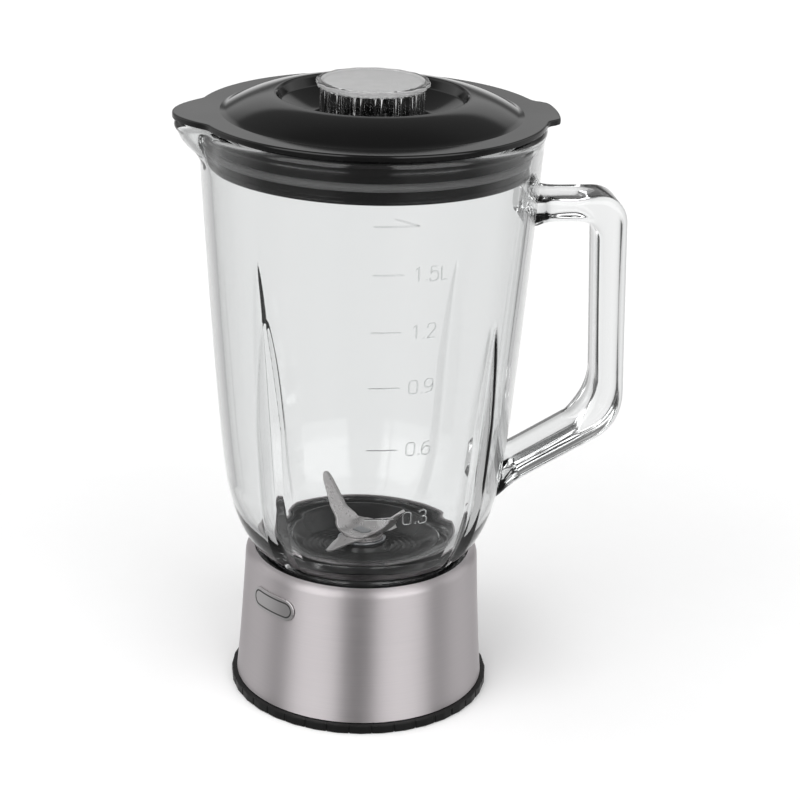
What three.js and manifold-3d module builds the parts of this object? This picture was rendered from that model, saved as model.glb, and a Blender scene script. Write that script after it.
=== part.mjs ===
// A glass blender jug standing on its blade holder, in millimetres, +Z up.
// The origin is the centre of the holder's foot, on the surface it stands on and on the spindle's axis.
// The handle points along +X, the pouring spout along -X, and the measuring scale faces -Y.
import * as THREE from "three";
import { mergeVertices } from "three/addons/utils/BufferGeometryUtils.js";
import Module from "manifold-3d";

const wasm = await Module();
wasm.setup();

// Clearances
const fitGap = 0.3; // between pieces that rest on or fit in each other
const slideGap = 0.6; // round a piece that lifts out by hand
const runGap = 0.06; // radial, between the spindle and its bushes

// How finely round pieces are divided
const wideSides = 48;
const smallSides = 20;
const holeSides = 12;

// The jar's glass foot, which sets the size of the holder round it
const footRadius = 43;
const footWall = 8.4;
const footHeight = 17.5; // straight part of the foot, below the bowl
const jarHeight = 211.3;
const bellyRadius = 60.4;
const bellyHeight = 54.8; // above the foot's lower edge
const rimRadius = 71.9;
const glassWall = 4.2;
const rimRound = 1.1;
const bowlSteps = 5;
const wallSteps = 9;

// Four flutes pressed into the glass, at 45 degrees to the handle
const fluteCount = 4;
const fluteDepth = 4.6;
const fluteHalfWidth = 7.9;
const fluteToe = 28; // above the foot's lower edge
const fluteTop = 136;
const fluteArch = 34; // length of the pointed top

// Pouring spout
const spoutReach = 9.2;
const spoutHalfAngle = 19;
const spoutDepth = 15; // how far it runs down from the rim

// Handle, a closed D of pressed glass in the XZ plane
const handleWidth = 23;
const handleReach = 41; // from the jar's widest radius to the outside of the grip
const handleBar = 10.4;
const handleArm = 10.2;
const handleTopDrop = 31.5; // rim to the upper arm's top
const handleDrop = 134; // upper arm's top to where the lower arm meets the jar
const handleSlant = 4.4; // how far the grip leans out towards its foot
const handleArmRise = 30; // climb of the lower arm from the jar to the grip
const handleCorner = 12;
const handleBevel = 2.2;

// Rubber seal under the glass foot
const sealWidth = 6.6;
const sealThickness = 1.6;

// Blade holder
const collarWall = 3.3;
const collarDepth = 18.8; // how deep the glass foot sits in it
const seatHeight = 44; // the ledge that carries the seal
const seatThickness = 3.5;
const pedestalHeight = 26; // from the ledge to the rim of the dish
const pedestalWall = 2.6;
const dishDepth = 6;
const dishSlope = 8; // width of the dish's sloping side
const floorThickness = 3;
const towerWall = 3.3; // round the bearing housing
const towerHeight = 2.9; // above the dish's floor
const bossDepth = 13; // below the dish's underside
const screwCount = 3;
const screwInset = 7.2; // screw circle inside the skirt's foot, to the foot's edge
const screwBossRadius = 4;
const screwRadius = 1.5;
const screwHeadRadius = 3.2;
const screwHeadHeight = 1.8;
const screwLength = 15;

// Brushed steel skirt
const skirtWall = 0.8;
const skirtRoll = 3.8; // radius of its rounded top edge
const skirtFlare = 3.65; // how much wider it is at its foot
const skirtRise = 2.1; // its top above the collar
const skirtSteps = 3;

// Base ring
const ringHeight = 4;
const ringOverhang = 2.4; // beyond the skirt's foot
const ringWidth = 17;
const ringUpstand = 6;
const ringUpstandWall = 2.2;
const ringWeb = 5;
const gripCount = 36;
const gripDepth = 0.8;

// Blank badge on the skirt
const badgeLength = 26;
const badgeHeight = 9.6;
const badgeThickness = 0.5;
const badgeAngle = -143.5;
const badgeDrop = 14.2; // its middle below the skirt's top

// Spindle and its bearing
const spindleRadius = 4;
const spindleFlats = 5.3;
const flatsHeight = 3.9;
const housingWall = 1.24;
const housingOverhang = 2.6; // flange beyond the body
const housingFlange = 1.5;
const housingLength = 31.5;
const housingBoreGap = 0.7; // between the spindle and the housing's middle
const bushWall = 2.4;
const bushLength = 8;
const sealLipHeight = 3;
const gasketThickness = 0.7;
const washerThickness = 0.8;
const nutHeight = 4;
const nutWall = 2.7; // from the thread to the flats
const clipThickness = 1;
const clipWall = 2;
const clipGrooveDepth = 0.7;
const thrustThickness = 1;

// Blades
const bladeThickness = 1.2;
const bladeHub = 9;
const bladeWasherThickness = 0.6;
const upBladeAngle = 127;
const upBladeRise = 19; // tips above the hub
const upBladeRoot = 6.5;
const downBladeAngle = 226;
const downBladeFall = 3.6;
const bladeRimGap = 7.2; // upswept tips to the edge of the dish
const dishTipGap = 1.6; // lower tips to the dish's sloping side

// Drive coupling
const couplingRadius = 13.5;
const couplingHeight = 14;
const couplingFoot = 9; // its lower face above the table
const couplingLobes = 6;
const couplingLobeDepth = 2.6;
const hubWall = 2.6;
const spindleTail = 2; // spindle's end above the coupling's lower face

// Lid
const lidOverhang = 0.9;
const lidFlange = 2.5;
const lidWall = 2.2;
const lidLedge = 9.6; // flat margin inside the flange's edge
const lidPeak = 7.4; // recess rim above the flange
const recessRadius = 40.1;
const recessWall = 4.4;
const recessDepth = 10.3;
const plugDepth = 19.2;
const plugGap = 4.2; // from the glass to the plug's wall
const spoutTabReach = 9.6;
const spoutTabAngle = 19;
const handleTabReach = 5;
const handleTabAngle = 15;
const socketDepth = 13.4;
const socketWall = 1.8;
const socketLedge = 2.6;

// Lid gasket
const gasketLips = 3;
const gasketLipHeight = 2.4;
const gasketWall = 1.3;

// Measuring cap
const capRadius = 21.8;
const capWall = 1.6;
const capOverhang = 1.9; // of its scalloped top
const capTopThickness = 2.2;
const capHeight = 27.4;

// Heights and radii that follow
const degrees = Math.PI / 180;
const seatZ = seatHeight + fitGap;
const jarZ = seatZ + sealThickness + fitGap;
const rimZ = jarZ + jarHeight;
const neckBore = footRadius - footWall;
const collarInner = footRadius + slideGap;
const collarOuter = collarInner + collarWall;
const collarTop = seatHeight + collarDepth;
const skirtTop = collarTop + skirtRise;
const skirtMouth = collarOuter + slideGap;
const skirtShoulderRadius = skirtMouth + skirtRoll;
const skirtFootRadius = skirtShoulderRadius + skirtFlare;
const skirtFootZ = ringHeight + fitGap;
const baseRadius = skirtFootRadius + ringOverhang;
const screwCircle = skirtFootRadius - screwInset - screwHeadRadius;
const pedestalRadius = neckBore - slideGap;
const pedestalTop = seatHeight + pedestalHeight;
const dishZ = pedestalTop - dishDepth;
const dishRadius = pedestalRadius - dishSlope;
const towerTop = dishZ + towerHeight;
const bossZ = dishZ - floorThickness - bossDepth;
const flangeZ = towerTop + 2 * fitGap + gasketThickness;
const housingTop = flangeZ + housingFlange;
const housingZ = flangeZ - housingLength;
const bushRadius = spindleRadius + runGap + bushWall;
const housingRadius = bushRadius + fitGap + housingWall;
const housingFlangeRadius = housingRadius + housingOverhang;
const towerRadius = housingRadius + fitGap + towerWall;
const nutFlats = 2 * (housingRadius + fitGap + nutWall);
const bladeWasherZ = housingTop + fitGap;
const downBladeZ = bladeWasherZ + bladeWasherThickness + fitGap;
const upBladeZ = downBladeZ + bladeThickness + fitGap;
const spindleTop = upBladeZ + bladeThickness + fitGap;
const thrustZ = housingZ - fitGap - thrustThickness;
const clipZ = thrustZ - fitGap - clipThickness;
const hubRadius = spindleRadius + fitGap + hubWall;
const rimInner = rimRadius - glassWall;
const lidZ = rimZ + fitGap;
const lidTop = lidZ + lidFlange;
const plugZ = lidZ - plugDepth;
const plugRadius = rimInner - plugGap;
const socketRadius = capRadius + slideGap;
const recessZ = lidTop + lidPeak - recessDepth;
const socketZ = recessZ - socketDepth;
const capZ = socketZ + socketWall + fitGap;
const capTopRadius = capRadius + capOverhang;

const finishes = {
  glass: { color: 0xdfe5e6, roughness: 0.05, metalness: 0, transparent: true, opacity: 0.35 },
  clearPlastic: { color: 0xe4e7e8, roughness: 0.1, metalness: 0, transparent: true, opacity: 0.45 },
  blackGloss: { color: 0x141416, roughness: 0.18, metalness: 0 },
  blackMatt: { color: 0x1b1b1d, roughness: 0.5, metalness: 0 },
  rubber: { color: 0x222224, roughness: 0.75, metalness: 0 },
  brushedSteel: { color: 0xbdb7b4, roughness: 0.35, metalness: 1 },
  bladeSteel: { color: 0xb9b9bb, roughness: 0.25, metalness: 1 },
  zincSteel: { color: 0x9fa2a6, roughness: 0.4, metalness: 1 },
  bronze: { color: 0xa27a45, roughness: 0.45, metalness: 1 },
};

const jug = new THREE.Group();

function addPart(parent, name, geometry, finish, z = 0) {
  const mesh = new THREE.Mesh(geometry, new THREE.MeshStandardMaterial(finishes[finish]));
  mesh.name = name;
  mesh.position.z = z;
  parent.add(mesh);
  return mesh;
}

// A closed mesh becomes a solid that can be joined and cut.
function toSolid(geometry) {
  const bare = geometry.clone();
  bare.deleteAttribute("normal");
  bare.deleteAttribute("uv");
  const merged = mergeVertices(bare, 1e-4);
  const vertProperties = merged.attributes.position.array;
  const triVerts = new Uint32Array(merged.index.array);
  return new wasm.Manifold(new wasm.Mesh({ numProp: 3, vertProperties, triVerts }));
}

function toGeometry(solid) {
  const { vertProperties, triVerts } = solid.getMesh();
  const geometry = new THREE.BufferGeometry();
  geometry.setAttribute("position", new THREE.BufferAttribute(vertProperties, 3));
  geometry.setIndex(new THREE.BufferAttribute(triVerts, 1));
  return geometry;
}

// A profile of [radius, height] points turned round the Z axis. It closes on itself or on the axis.
function turned(profile, sides = wideSides) {
  const points = profile.map(([radius, z]) => new THREE.Vector2(radius, z));
  if (THREE.ShapeUtils.area(points) < 0) points.reverse();
  if (points[0].x > 0 || points.at(-1).x > 0) points.push(points[0].clone());
  return new THREE.LatheGeometry(points, sides).rotateX(Math.PI / 2);
}

function washer(inner, outer, height, sides = smallSides) {
  return turned([[inner, 0], [outer, 0], [outer, height], [inner, height]], sides);
}

function rod(radius, height, sides = smallSides) {
  return new THREE.CylinderGeometry(radius, radius, height, sides)
    .rotateX(Math.PI / 2)
    .translate(0, 0, height / 2);
}

// A flat outline of [x, y] points raised along Z.
function plate(outline, height) {
  const shape = new THREE.Shape(outline.map(([x, y]) => new THREE.Vector2(x, y)));
  return new THREE.ExtrudeGeometry(shape, { depth: height, bevelEnabled: false });
}

// An outline of [x, z] points given a width along Y, centred on the XZ plane.
function upright(outline, width) {
  return plate(outline, width).rotateX(Math.PI / 2).translate(0, width / 2, 0);
}

function around(count, first = 0) {
  return Array.from({ length: count }, (_, i) => first + (2 * Math.PI * i) / count);
}

// Points on a quadratic curve, its first end left out.
function bend(from, control, to, steps) {
  const points = [from, control, to].map(([x, y]) => new THREE.Vector2(x, y));
  return new THREE.QuadraticBezierCurve(...points).getPoints(steps).slice(1).map((p) => [p.x, p.y]);
}

// A quarter turn about [x, y] between two angles in degrees.
function corner(x, y, radius, from, to, steps) {
  return Array.from({ length: steps + 1 }, (_, i) => {
    const angle = (from + ((to - from) * i) / steps) * degrees;
    return [x + radius * Math.cos(angle), y + radius * Math.sin(angle)];
  });
}

// Moves each vertex of a turned shape in or out by change(angle, height).
function reshape(geometry, change) {
  const position = geometry.attributes.position;
  for (let i = 0; i < position.count; i += 1) {
    const radius = Math.hypot(position.getX(i), position.getY(i));
    if (radius < 1e-6) continue;
    const angle = Math.atan2(position.getY(i), position.getX(i));
    const scale = (radius + change(angle, position.getZ(i), radius)) / radius;
    position.setXY(i, position.getX(i) * scale, position.getY(i) * scale);
  }
  return geometry;
}

function angleBetween(a, b) {
  return Math.abs(Math.atan2(Math.sin(a - b), Math.cos(a - b)));
}

// A smooth hump of height 1 at zero that fades to 0 at the half width.
function hump(distance, halfWidth) {
  return distance < halfWidth ? 0.5 + 0.5 * Math.cos((Math.PI * distance) / halfWidth) : 0;
}

// Glass jar

function fluteChange(angle, z, radius) {
  const toArch = Math.min(Math.max((fluteTop - z) / fluteArch, 0), 1);
  if (toArch === 0 || z < fluteToe) return 0;
  const side = Math.min(...around(fluteCount, Math.PI / 4).map((a) => angleBetween(angle, a)));
  return -fluteDepth * Math.sqrt(toArch) * hump(side * radius, fluteHalfWidth * 1.2);
}

function spoutChange(angle, z) {
  const side = angleBetween(angle, Math.PI) / degrees;
  const climb = Math.min(Math.max((z - jarHeight + spoutDepth) / spoutDepth, 0), 1);
  return spoutReach * climb ** 1.5 * hump(side, spoutHalfAngle);
}

function glassChange(angle, z, radius) {
  return fluteChange(angle, z, radius) + spoutChange(angle, z);
}

function jarOutside() {
  const shoulder = [footRadius + 1.5, footHeight + 1.5];
  const belly = [bellyRadius, bellyHeight];
  const rim = [rimRadius, jarHeight - rimRound];
  const bowl = bend(shoulder, [bellyRadius - 4.6, footHeight + 9], belly, bowlSteps);
  const wall = bend(belly, [bellyRadius + 4.6, bellyHeight + 39], rim, wallSteps);
  const top = [[rimRadius - rimRound, jarHeight], [0, jarHeight]];
  return [[0, 0], [footRadius, 0], [footRadius, footHeight], shoulder, ...bowl, ...wall, ...top];
}

function jarInside() {
  const throat = [neckBore, pedestalTop - jarZ - 1];
  const belly = [bellyRadius - glassWall, bellyHeight];
  const rim = [rimInner, jarHeight + 1];
  const bowl = bend(throat, [bellyRadius - 9.4, throat[1] + 5], belly, bowlSteps);
  const wall = bend(belly, [belly[0] + 4.6, bellyHeight + 39], rim, wallSteps);
  return [[0, -1], [neckBore, -1], throat, ...bowl, ...wall, [0, jarHeight + 1]];
}

// Outside of the jar's plain wall at a height above its foot
function wallRadius(z) {
  const wall = jarOutside();
  const above = wall.findIndex(([radius, height]) => height > z && radius > footRadius);
  const [[r0, z0], [r1, z1]] = [wall[above - 1], wall[above]];
  return r0 + ((r1 - r0) * (z - z0)) / (z1 - z0);
}

function handleOutline() {
  const top = jarHeight - handleTopDrop;
  const low = top - handleDrop;
  const outer = rimRadius + handleReach;
  const bendZ = low + handleArmRise;
  const armIn = [wallRadius(top) - glassWall, wallRadius(low) - glassWall];
  const gripTop = outer - handleSlant;
  const armSlope = handleArmRise / (outer - armIn[1]);
  const under = handleArm * Math.hypot(1, armSlope);
  const inside = outer - handleBar;
  return [
    [armIn[0], top],
    ...corner(gripTop - handleCorner, top - handleCorner, handleCorner, 90, 0, 5),
    ...bend([outer, bendZ + 14], [outer, bendZ], [outer - 12, bendZ - 12 * armSlope], 3),
    [armIn[1], low],
    [armIn[1], low + under],
    ...bend([inside - 9, bendZ + under - (9 + handleBar) * armSlope], [inside, bendZ + under - 1],
      [inside, bendZ + under + 8], 3),
    ...corner(gripTop - handleBar - 8, top - handleArm - 8, 8, 0, 90, 4),
    [armIn[0], top - handleArm],
  ];
}

function handleSolid() {
  const shape = new THREE.Shape(handleOutline().map(([x, z]) => new THREE.Vector2(x, z)));
  const depth = handleWidth - 2 * handleBevel;
  const bevel = { bevelThickness: handleBevel, bevelSize: handleBevel, bevelOffset: -handleBevel };
  const geometry = new THREE.ExtrudeGeometry(shape, { depth, bevelSegments: 2, ...bevel });
  return toSolid(geometry.rotateX(Math.PI / 2).translate(0, depth / 2, 0));
}

function glassJar() {
  const outside = toSolid(reshape(turned(jarOutside()), glassChange));
  const inside = toSolid(reshape(turned(jarInside()), glassChange));
  return toGeometry(outside.add(handleSolid()).subtract(inside));
}

// Blade holder, skirt and base

// Radius of the skirt's outer face at a height on the object
function skirtCurve() {
  const straightTop = skirtTop - skirtRoll;
  const waist = [skirtShoulderRadius + 1.6, skirtFootZ + 23];
  return bend([skirtFootRadius, skirtFootZ], waist, [skirtShoulderRadius, straightTop], skirtSteps);
}

function steelSkirt() {
  const rollZ = skirtTop - skirtRoll;
  const inner = skirtRoll - skirtWall;
  const outside = [[skirtFootRadius, skirtFootZ], ...skirtCurve()];
  const inside = outside.map(([radius, z]) => [radius - skirtWall, z]).reverse();
  return turned([
    ...outside,
    ...corner(skirtMouth, rollZ, skirtRoll, 0, 90, 3).slice(1),
    ...corner(skirtMouth, rollZ, inner, 90, 0, 2).slice(0, -1),
    ...inside,
  ]);
}

function holderProfile() {
  const shoulderRadius = skirtShoulderRadius - skirtWall - fitGap;
  const shoulderZ = skirtTop - skirtRoll;
  const seatUnder = seatHeight - seatThickness;
  const floorUnder = dishZ - floorThickness;
  const bore = housingRadius + fitGap;
  return [
    [collarInner, seatHeight],
    [collarInner, collarTop - 0.6],
    [collarInner + 0.6, collarTop],
    [collarOuter - 0.8, collarTop],
    [collarOuter, collarTop - 0.8],
    [collarOuter, shoulderZ],
    [shoulderRadius, shoulderZ],
    [shoulderRadius, shoulderZ - 4],
    [collarOuter, shoulderZ - 7],
    [collarOuter, seatUnder],
    [pedestalRadius - pedestalWall, seatUnder],
    [pedestalRadius - pedestalWall, floorUnder],
    [towerRadius, floorUnder],
    [towerRadius, bossZ],
    [bore, bossZ],
    [bore, towerTop],
    [towerRadius - 0.6, towerTop],
    [towerRadius + 1.4, dishZ],
    [dishRadius, dishZ],
    [pedestalRadius - 2.4, pedestalTop - 0.9],
    [pedestalRadius - 1.2, pedestalTop],
    [pedestalRadius, pedestalTop - 1],
    [pedestalRadius, seatHeight],
  ];
}

function bladeHolder() {
  const bossFoot = ringWeb + fitGap;
  const bossTop = seatHeight - seatThickness / 2;
  const pilotTop = ringWeb + screwLength + 2;
  let holder = toSolid(turned(holderProfile()));
  for (const angle of around(screwCount, Math.PI / 2)) {
    const at = [screwCircle * Math.cos(angle), screwCircle * Math.sin(angle)];
    const boss = rod(screwBossRadius, bossTop - bossFoot, holeSides).translate(...at, bossFoot);
    const pilot = rod(screwRadius + fitGap, pilotTop - bossFoot + 1, holeSides)
      .translate(...at, bossFoot - 1);
    holder = holder.add(toSolid(boss)).subtract(toSolid(pilot));
  }
  return toGeometry(holder);
}

function baseRing() {
  const inner = baseRadius - ringWidth;
  const upstandOuter = skirtFootRadius - skirtWall - fitGap;
  const upstandInner = upstandOuter - ringUpstandWall;
  const profile = [
    [inner, 0],
    [baseRadius - 0.5, 0],
    [baseRadius, 0.6],
    [baseRadius, ringHeight - 0.5],
    [baseRadius - 0.5, ringHeight],
    [upstandOuter, ringHeight],
    [upstandOuter - 0.4, ringHeight + ringUpstand],
    [upstandInner, ringHeight + ringUpstand],
    [upstandInner, ringWeb],
    [inner, ringWeb],
  ];
  const gripAngle = Math.PI / gripCount;
  const grips = (angle, z, radius) => {
    const step = Math.round(angle / gripAngle);
    return radius > skirtFootRadius + 1 && step % 2 ? -gripDepth : 0;
  };
  let ring = toSolid(reshape(turned(profile, 2 * gripCount), grips));
  for (const angle of around(screwCount, Math.PI / 2)) {
    const at = [screwCircle * Math.cos(angle), screwCircle * Math.sin(angle)];
    const hole = rod(screwRadius + fitGap, ringWeb + 2, holeSides).translate(...at, -1);
    const headHole = rod(screwHeadRadius + fitGap, screwHeadHeight + 2 * fitGap + 1, holeSides)
      .translate(...at, -1);
    ring = ring.subtract(toSolid(hole)).subtract(toSolid(headHole));
  }
  return toGeometry(ring);
}

function baseScrew() {
  const drive = 1;
  return turned([
    [0, drive],
    [1.1, drive],
    [1.3, 0],
    [screwHeadRadius - 0.5, 0],
    [screwHeadRadius, 0.5],
    [screwHeadRadius, screwHeadHeight],
    [screwRadius, screwHeadHeight],
    [screwRadius, screwLength - 1],
    [0, screwLength],
  ], holeSides);
}

function badge() {
  const half = badgeLength / 2 - badgeHeight / 2;
  const radius = badgeHeight / 2;
  const outline = [...corner(half, 0, radius, -90, 90, 8), ...corner(-half, 0, radius, 90, 270, 8)];
  const block = upright(outline, badgeLength)
    .rotateZ(badgeAngle * degrees + Math.PI / 2)
    .translate(
      skirtShoulderRadius * Math.cos(badgeAngle * degrees),
      skirtShoulderRadius * Math.sin(badgeAngle * degrees),
      skirtTop - badgeDrop,
    );
  const face = [[skirtFootRadius, skirtFootZ], ...skirtCurve()];
  const inner = face.map(([r, z]) => [r + fitGap, z]);
  const outer = face.map(([r, z]) => [r + fitGap + badgeThickness, z]).reverse();
  const shell = turned([...inner, ...outer]);
  return toGeometry(toSolid(shell).intersect(toSolid(block)));
}

// Bearing and spindle

function bearingHousing() {
  const pocket = bushRadius + fitGap;
  const middle = spindleRadius + housingBoreGap;
  const top = housingLength + housingFlange;
  const upperPocket = top - sealLipHeight - bushLength - 2 * fitGap;
  const lowerPocket = bushLength + fitGap;
  return turned([
    [pocket, 0],
    [housingRadius, 0],
    [housingRadius, housingLength],
    [housingFlangeRadius, housingLength],
    [housingFlangeRadius, top - 0.5],
    [housingFlangeRadius - 0.5, top],
    [pocket, top],
    [pocket, upperPocket],
    [middle, upperPocket],
    [middle, lowerPocket],
    [pocket, lowerPocket],
  ], smallSides);
}

function hexNut() {
  const across = nutFlats / 2 / Math.cos(Math.PI / 6);
  const outline = around(6).map((a) => [across * Math.cos(a), across * Math.sin(a)]);
  const hole = rod(housingRadius + fitGap, nutHeight + 2).translate(0, 0, -1);
  return toGeometry(toSolid(plate(outline, nutHeight)).subtract(toSolid(hole)));
}

function sealLip() {
  const outer = bushRadius;
  const bore = spindleRadius + fitGap;
  return turned([
    [bore + 0.9, 0],
    [outer, 0],
    [outer, sealLipHeight - fitGap],
    [bore, sealLipHeight - fitGap],
    [bore, sealLipHeight - 1.3],
  ], smallSides);
}

function spindle() {
  const bottom = couplingFoot + spindleTail;
  const groove = spindleRadius - clipGrooveDepth;
  const flatsZ = spindleTop - flatsHeight;
  const shaft = turned([
    [0, bottom],
    [spindleRadius - 0.5, bottom],
    [spindleRadius, bottom + 0.5],
    [spindleRadius, clipZ - fitGap],
    [groove, clipZ - fitGap],
    [groove, clipZ + clipThickness + fitGap / 2],
    [spindleRadius, clipZ + clipThickness + fitGap / 2],
    [spindleRadius, flatsZ],
    [spindleRadius, spindleTop],
    [0, spindleTop],
  ], smallSides);
  const waste = new THREE.BoxGeometry(4 * spindleRadius, spindleRadius, flatsHeight + 1);
  const offset = spindleFlats / 2 + spindleRadius / 2;
  const cutAt = (side) => toSolid(waste.clone().translate(0, side * offset, flatsZ + (flatsHeight + 1) / 2));
  const cut = toSolid(shaft).subtract(cutAt(1)).subtract(cutAt(-1));
  return toGeometry(cut).rotateZ(upBladeAngle * degrees);
}

function retainingClip() {
  const inner = spindleRadius - clipGrooveDepth + fitGap;
  const outer = spindleRadius + clipWall;
  const mouth = new THREE.BoxGeometry(outer * 2, inner * 1.2, clipThickness * 3).translate(outer, 0, 0);
  return toGeometry(toSolid(washer(inner, outer, clipThickness)).subtract(toSolid(mouth)));
}

// A side view of the stamped strip, cut to the plan of its two arms, with the spindle's slot in its hub.
function blade(sideView, arm) {
  const strip = toSolid(upright(sideView, 4 * bladeHub));
  const other = arm.map(([x, y]) => [-x, -y]);
  const slotLength = 2 * (spindleRadius + fitGap);
  const slot = new THREE.BoxGeometry(slotLength, spindleFlats + 2 * fitGap, 4 * bladeThickness);
  const plan = toSolid(rod(bladeHub, 4 * upBladeRise).translate(0, 0, -2 * upBladeRise))
    .add(toSolid(plate(arm, 4 * upBladeRise).translate(0, 0, -2 * upBladeRise)))
    .add(toSolid(plate(other, 4 * upBladeRise).translate(0, 0, -2 * upBladeRise)));
  return strip.intersect(plan).subtract(toSolid(slot));
}

function sweptStrip(reach, root, rise) {
  const thick = bladeThickness * Math.hypot(1, rise / (reach - root));
  return [
    [-reach, rise],
    [-root, 0],
    [root, 0],
    [reach, rise],
    [reach, rise + thick],
    [root, bladeThickness],
    [-root, bladeThickness],
    [-reach, rise + thick],
  ];
}

function upBlade() {
  const reach = pedestalRadius - bladeRimGap;
  const arm = [
    [0, -bladeHub * 0.7],
    [reach * 0.5, -2.6],
    [reach - 0.6, -3.6],
    [reach, -2],
    [reach - 1.2, -0.6],
    [reach * 0.55, 5],
    [bladeHub * 0.4, bladeHub * 0.9],
  ];
  return toGeometry(blade(sweptStrip(reach + 2, upBladeRoot, upBladeRise), arm))
    .rotateZ(upBladeAngle * degrees);
}

function downBlade() {
  const reach = dishRadius - dishTipGap;
  const arm = [
    [0, -bladeHub * 0.6],
    [reach * 0.6, -4.4],
    [reach - 0.8, -1.6],
    [reach, 0],
    [reach - 1, 1.2],
    [reach * 0.5, 3.6],
    [bladeHub * 0.4, bladeHub * 0.8],
  ];
  const strip = sweptStrip(reach + 2, bladeHub, -downBladeFall);
  const turn = (downBladeAngle - upBladeAngle) * degrees;
  const flats = new THREE.BoxGeometry(2 * spindleRadius + 2 * fitGap, spindleFlats + 2 * fitGap, 9);
  const solid = blade(strip, arm).subtract(toSolid(flats.rotateZ(-turn)));
  return toGeometry(solid).rotateZ(downBladeAngle * degrees);
}

function driveCoupling() {
  const lobes = (angle, z, radius) => {
    const waist = z < couplingHeight * 0.7 && radius > couplingRadius - 1;
    return waist ? -couplingLobeDepth * (0.5 + 0.5 * Math.cos(angle * couplingLobes)) : 0;
  };
  const bore = hubRadius + fitGap;
  return reshape(turned([
    [bore, 0],
    [couplingRadius - 0.6, 0],
    [couplingRadius, 0.6],
    [couplingRadius, couplingHeight * 0.65],
    [couplingRadius, couplingHeight * 0.75],
    [couplingRadius - 1, couplingHeight],
    [bore, couplingHeight],
  ], wideSides), lobes);
}

// Lid, its gasket and the measuring cap

function tabChange(angle, z, radius) {
  if (radius < rimRadius - 1) return 0;
  const spout = hump(angleBetween(angle, Math.PI) / degrees, spoutTabAngle);
  const handle = hump(angleBetween(angle, 0) / degrees, handleTabAngle);
  return spoutTabReach * spout ** 0.7 + handleTabReach * handle ** 0.6;
}

function lid() {
  const edge = rimRadius + lidOverhang;
  const crease = rimRadius - lidLedge;
  const peak = lidTop + lidPeak;
  const recessFloor = socketRadius + 3;
  const socketOuter = socketRadius + socketWall;
  const dome = [(crease + recessRadius) / 2 + 1, peak - 1.6];
  const under = bend([recessRadius + 1, peak - lidWall], [dome[0], dome[1] - lidWall],
    [plugRadius - lidWall, lidZ], 3);
  return reshape(turned([
    [edge - 0.3, lidZ],
    [edge, lidZ + 0.4],
    [edge, lidTop - 0.8],
    [edge - 0.8, lidTop],
    [crease, lidTop - 0.1],
    ...bend([crease, lidTop - 0.1], dome, [recessRadius + 1, peak], 4),
    [recessRadius - 0.8, peak - 0.3],
    [recessRadius - 2, peak - recessWall],
    ...bend([recessRadius - 2, peak - recessWall], [recessFloor + 3, recessZ + 0.4],
      [recessFloor, recessZ], 3),
    [socketRadius, recessZ - 0.6],
    [socketRadius, socketZ + socketWall],
    [socketRadius - socketLedge, socketZ + socketWall],
    [socketRadius - socketLedge, socketZ],
    [socketOuter, socketZ],
    [socketOuter, recessZ - lidWall],
    [recessFloor + 1, recessZ - lidWall],
    [recessRadius - 1, peak - recessWall - lidWall - 1],
    [recessRadius + 1, peak - lidWall],
    ...under,
    [plugRadius - lidWall, plugZ],
    [plugRadius, plugZ],
    [plugRadius, lidZ],
  ]), tabChange);
}

function lidGasket() {
  const inner = plugRadius + fitGap;
  const root = inner + gasketWall;
  const height = plugDepth - 1.4;
  const pitch = (height - gasketLipHeight) / (gasketLips - 1);
  const lips = Array.from({ length: gasketLips }, (_, i) => {
    const z = i * pitch;
    const lip = wallRadius(jarHeight - plugDepth + z) - glassWall - fitGap;
    return [[root, z], [lip - 0.4, z], [lip, z + gasketLipHeight / 2], [root, z + gasketLipHeight]];
  }).flat();
  return turned([[inner, 0], ...lips.slice(1, -1), [inner, height]]);
}

function measuringCap() {
  const lobes = (angle, z, radius) =>
    radius > capTopRadius - 0.3 ? -0.5 * (0.5 + 0.5 * Math.cos(angle * 16)) : 0;
  return reshape(turned([
    [capRadius - capWall, 0],
    [capRadius, 0],
    [capRadius, capHeight - capTopThickness],
    [capTopRadius, capHeight - capTopThickness],
    [capTopRadius, capHeight - 0.4],
    [capTopRadius - 1.4, capHeight],
    [0, capHeight - 0.2],
    [0, capHeight - capTopThickness - 0.2],
    [capRadius - capWall, capHeight - capTopThickness - 0.4],
  ]), lobes);
}

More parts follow.
